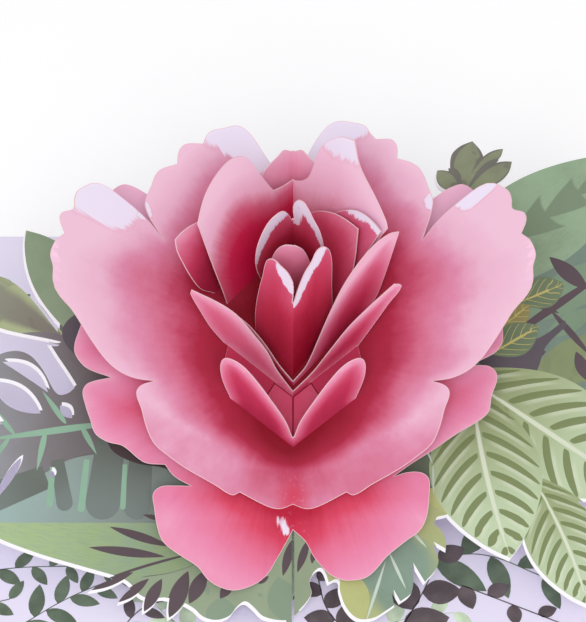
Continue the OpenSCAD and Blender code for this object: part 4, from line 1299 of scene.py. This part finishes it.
class CARD_OT_inside(bpy.types.Operator):
    """Print the card's inside and its sprigs, and give the struts their paper"""
    bl_idname = "card.inside"
    bl_label = "Card and inside print"

    # Stems of the printed sprigs in millimetres on the card, then the leaflets' count, length and width,
    # and the width of a broad stem. The first pale one is the print that shows between the sprays in front.
    leaf_sprigs = [
        ([(-104, -95), (-88, -84), (-68, -74)], 9, 14, 6),
        ([(-142, -78), (-116, -71), (-82, -69)], 10, 13, 6),
        ([(-146, -96), (-124, -88), (-110, -84)], 6, 14, 6.5),
        ([(56, -66), (74, -64), (98, -74)], 5, 22, 9),
        ([(146, -46), (136, -68), (128, -92)], 7, 15, 7),
        ([(-146, 24), (-128, 44), (-122, 70)], 8, 14, 6),
        ([(146, 52), (128, 70), (118, 88)], 8, 15, 6),
    ]
    mist_sprigs = [
        ([(0, -84), (0, -60), (0, -36)], 2, 5, 2, 3.2),
        ([(30, -98), (46, -92), (62, -90)], 5, 13, 7),
        ([(-40, -98), (-50, -90), (-60, -78)], 5, 12, 6),
    ]
    dusk_sprigs = [
        ([(-66, -97), (-58, -88), (-48, -84)], 5, 11, 4.5),
        ([(42, -96), (50, -82), (57, -66)], 5, 17, 12),
        ([(66, -78), (84, -86), (104, -95)], 5, 10, 6.5),
        ([(-30, 92), (0, 84), (34, 92)], 9, 12, 4),
        ([(104, -56), (122, -60), (142, -72)], 6, 15, 8),
        ([(20, -98), (13, -88), (10, -76)], 5, 12, 8),
    ]

    def execute(self, context):
        look = context.scene.card_inside
        papers = {"card_cover": inside_print(look)}
        for node in ("strut_front", "strut_rear"):
            papers[node] = strut_paper(node)
        for node, paper in papers.items():
            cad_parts[node].data.materials.clear()
            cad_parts[node].data.materials.append(paper)
        first = 1
        for name, tint, stems in (
                ("mist_sprigs", look.mist, self.mist_sprigs), ("leaf_sprigs", look.leaf, self.leaf_sprigs),
                ("dusk_sprigs", look.dusk, self.dusk_sprigs)):
            self.sprigs(context, name, sprig_print(name + "_print", tint), stems, first, look.print_height)
            first += len(stems)
        return {"FINISHED"}

    def sprigs(self, context, name, material, stems, first, height):
        """One piece from all the stems.

        Each sprig is a little thicker than the one before, so that crossing ones don't share a face.
        """
        tree = sprig_tree(material)
        sockets = {s.name: s.identifier for s in tree.interface.items_tree if s.in_out == "INPUT"}
        whole = bmesh.new()
        for i, (stem, count, length, width, *broad) in enumerate(stems):
            curve = bpy.data.curves.new(name, "CURVE")
            curve.dimensions = "3D"
            spline = curve.splines.new("BEZIER")
            spline.bezier_points.add(len(stem) - 1)
            for point, (x, y) in zip(spline.bezier_points, stem):
                point.co = (x * MM, y * MM, (CARD_TOP - PRINT_SEAT) * MM)
                point.handle_left_type = point.handle_right_type = "AUTO"
            maker = put(name, curve)
            modifier = maker.modifiers.new("sprig", "NODES")
            modifier.node_group = tree
            stem_width = broad[0] if broad else STEM_WIDTH
            for label, value in (
                    ("Leaflets", count), ("Length", length * MM), ("Width", width * MM),
                    ("Stem", stem_width * MM), ("Thickness", height * (first + i) * MM)):
                modifier[sockets[label]] = value
            context.view_layer.update()
            made = bpy.data.meshes.new_from_object(maker.evaluated_get(context.evaluated_depsgraph_get()))
            if not made.polygons:
                raise RuntimeError("the printed sprig came out empty")
            whole.from_mesh(made)
            bpy.data.objects.remove(maker)
        for vert in whole.verts:
            vert.co.x = min(max(vert.co.x, -GROUND_X), GROUND_X)
            vert.co.y = min(max(vert.co.y, -GROUND_Y), GROUND_Y)
        mesh = bpy.data.meshes.new(name)
        whole.to_mesh(mesh)
        whole.free()
        mesh.materials.append(material)
        piece = put(name, mesh)
        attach(piece, "root")


# Stage

# Half the floor's side, and the large light's place and width, in metres
FLOOR_REACH = 4.0
KEY_PLACE, KEY_WIDTH = Vector((-0.05, -0.95, 1.1)), 1.1
# The large light points at the flower.
KEY_AIM = Vector((0, 0, 0.05))


class CARD_OT_stage(bpy.types.Operator):
    """Set the floor, the lights and the camera"""
    bl_idname = "card.stage"
    bl_label = "Stage"

    def execute(self, context):
        look = context.scene.card_stage
        self.floor(look)
        self.lights(context.scene, look)
        self.camera(context.scene, look)
        return {"FINISHED"}

    def floor(self, look):
        ink = Ink("floor_paint", 0.75)
        wash = ink.noise(ink.place(), 3, 2)
        white = linear(look.floor)
        ink.shader.inputs["Emission Color"].default_value = (1, 1, 1, 1)
        ink.shader.inputs["Emission Strength"].default_value = look.glow
        mesh = bpy.data.meshes.new("floor")
        corners = [(x * FLOOR_REACH, y * FLOOR_REACH, 0) for x, y in ((-1, -1), (1, -1), (1, 1), (-1, 1))]
        mesh.from_pydata(corners, [], [(0, 1, 2, 3)])
        mesh.materials.append(ink.finish(ink.mix(wash, shaded(white, 0.985), white), grain=0.0))
        put("floor", mesh)

    def lights(self, scene, look):
        world = bpy.data.worlds.new("even_light")
        world.use_nodes = True
        even = world.node_tree.nodes["Background"].inputs
        even["Color"].default_value = (1, 1, 1, 1)
        even["Strength"].default_value = look.sky
        scene.world = world
        lamp = bpy.data.lights.new("key", "AREA")
        lamp.shape = "DISK"
        lamp.size = KEY_WIDTH
        lamp.energy = look.key
        holder = put("key", lamp)
        holder.location = KEY_PLACE
        holder.rotation_euler = (KEY_AIM - KEY_PLACE).to_track_quat("-Z", "Y").to_euler()
        scene.view_settings.view_transform = "Standard"

    def camera(self, scene, look):
        camera = bpy.data.cameras.new("camera")
        camera.lens = look.lens
        camera.sensor_width = 36
        camera.dof.use_dof = False
        holder = put("camera", camera)
        away = Vector((0, -math.cos(look.elevation), math.sin(look.elevation)))
        holder.location = Vector((0, 0, look.height)) + look.distance * away
        holder.rotation_euler = (math.pi / 2 - look.elevation, 0, 0)
        scene.camera = holder


OPERATORS = (
    CARD_OT_stage, CARD_OT_inside, CARD_OT_leaf_sprays, CARD_OT_petal_layers, CARD_OT_standing_petals)
SETTINGS = {
    "card_petals": PetalSettings,
    "card_leaves": LeafSettings,
    "card_inside": InsideSettings,
    "card_stage": StageSettings,
}


class CARD_PT_panel(bpy.types.Panel):
    """Settings of the card's pieces, and a button for each group"""
    bl_idname = "CARD_PT_panel"
    bl_label = "Pop-up flower card"
    bl_space_type = "VIEW_3D"
    bl_region_type = "UI"
    bl_category = "Card"

    def draw(self, context):
        for operator in OPERATORS:
            self.layout.operator(operator.bl_idname)
        for name, group in SETTINGS.items():
            box = self.layout.box()
            for key in group.__annotations__:
                box.prop(getattr(context.scene, name), key)


CLASSES = tuple(SETTINGS.values()) + OPERATORS + (CARD_PT_panel,)


def register():
    for cls in CLASSES:
        bpy.utils.register_class(cls)
    for name, cls in SETTINGS.items():
        setattr(bpy.types.Scene, name, PointerProperty(type=cls))


def unregister():
    for name in SETTINGS:
        delattr(bpy.types.Scene, name)
    for cls in reversed(CLASSES):
        bpy.utils.unregister_class(cls)


def main():
    register()
    bpy.ops.card.stage()
    bpy.ops.card.inside()
    bpy.ops.card.leaf_sprays()
    bpy.ops.card.petal_layers()
    bpy.ops.card.standing_petals()
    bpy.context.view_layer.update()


if __name__ == "__main__":
    main()
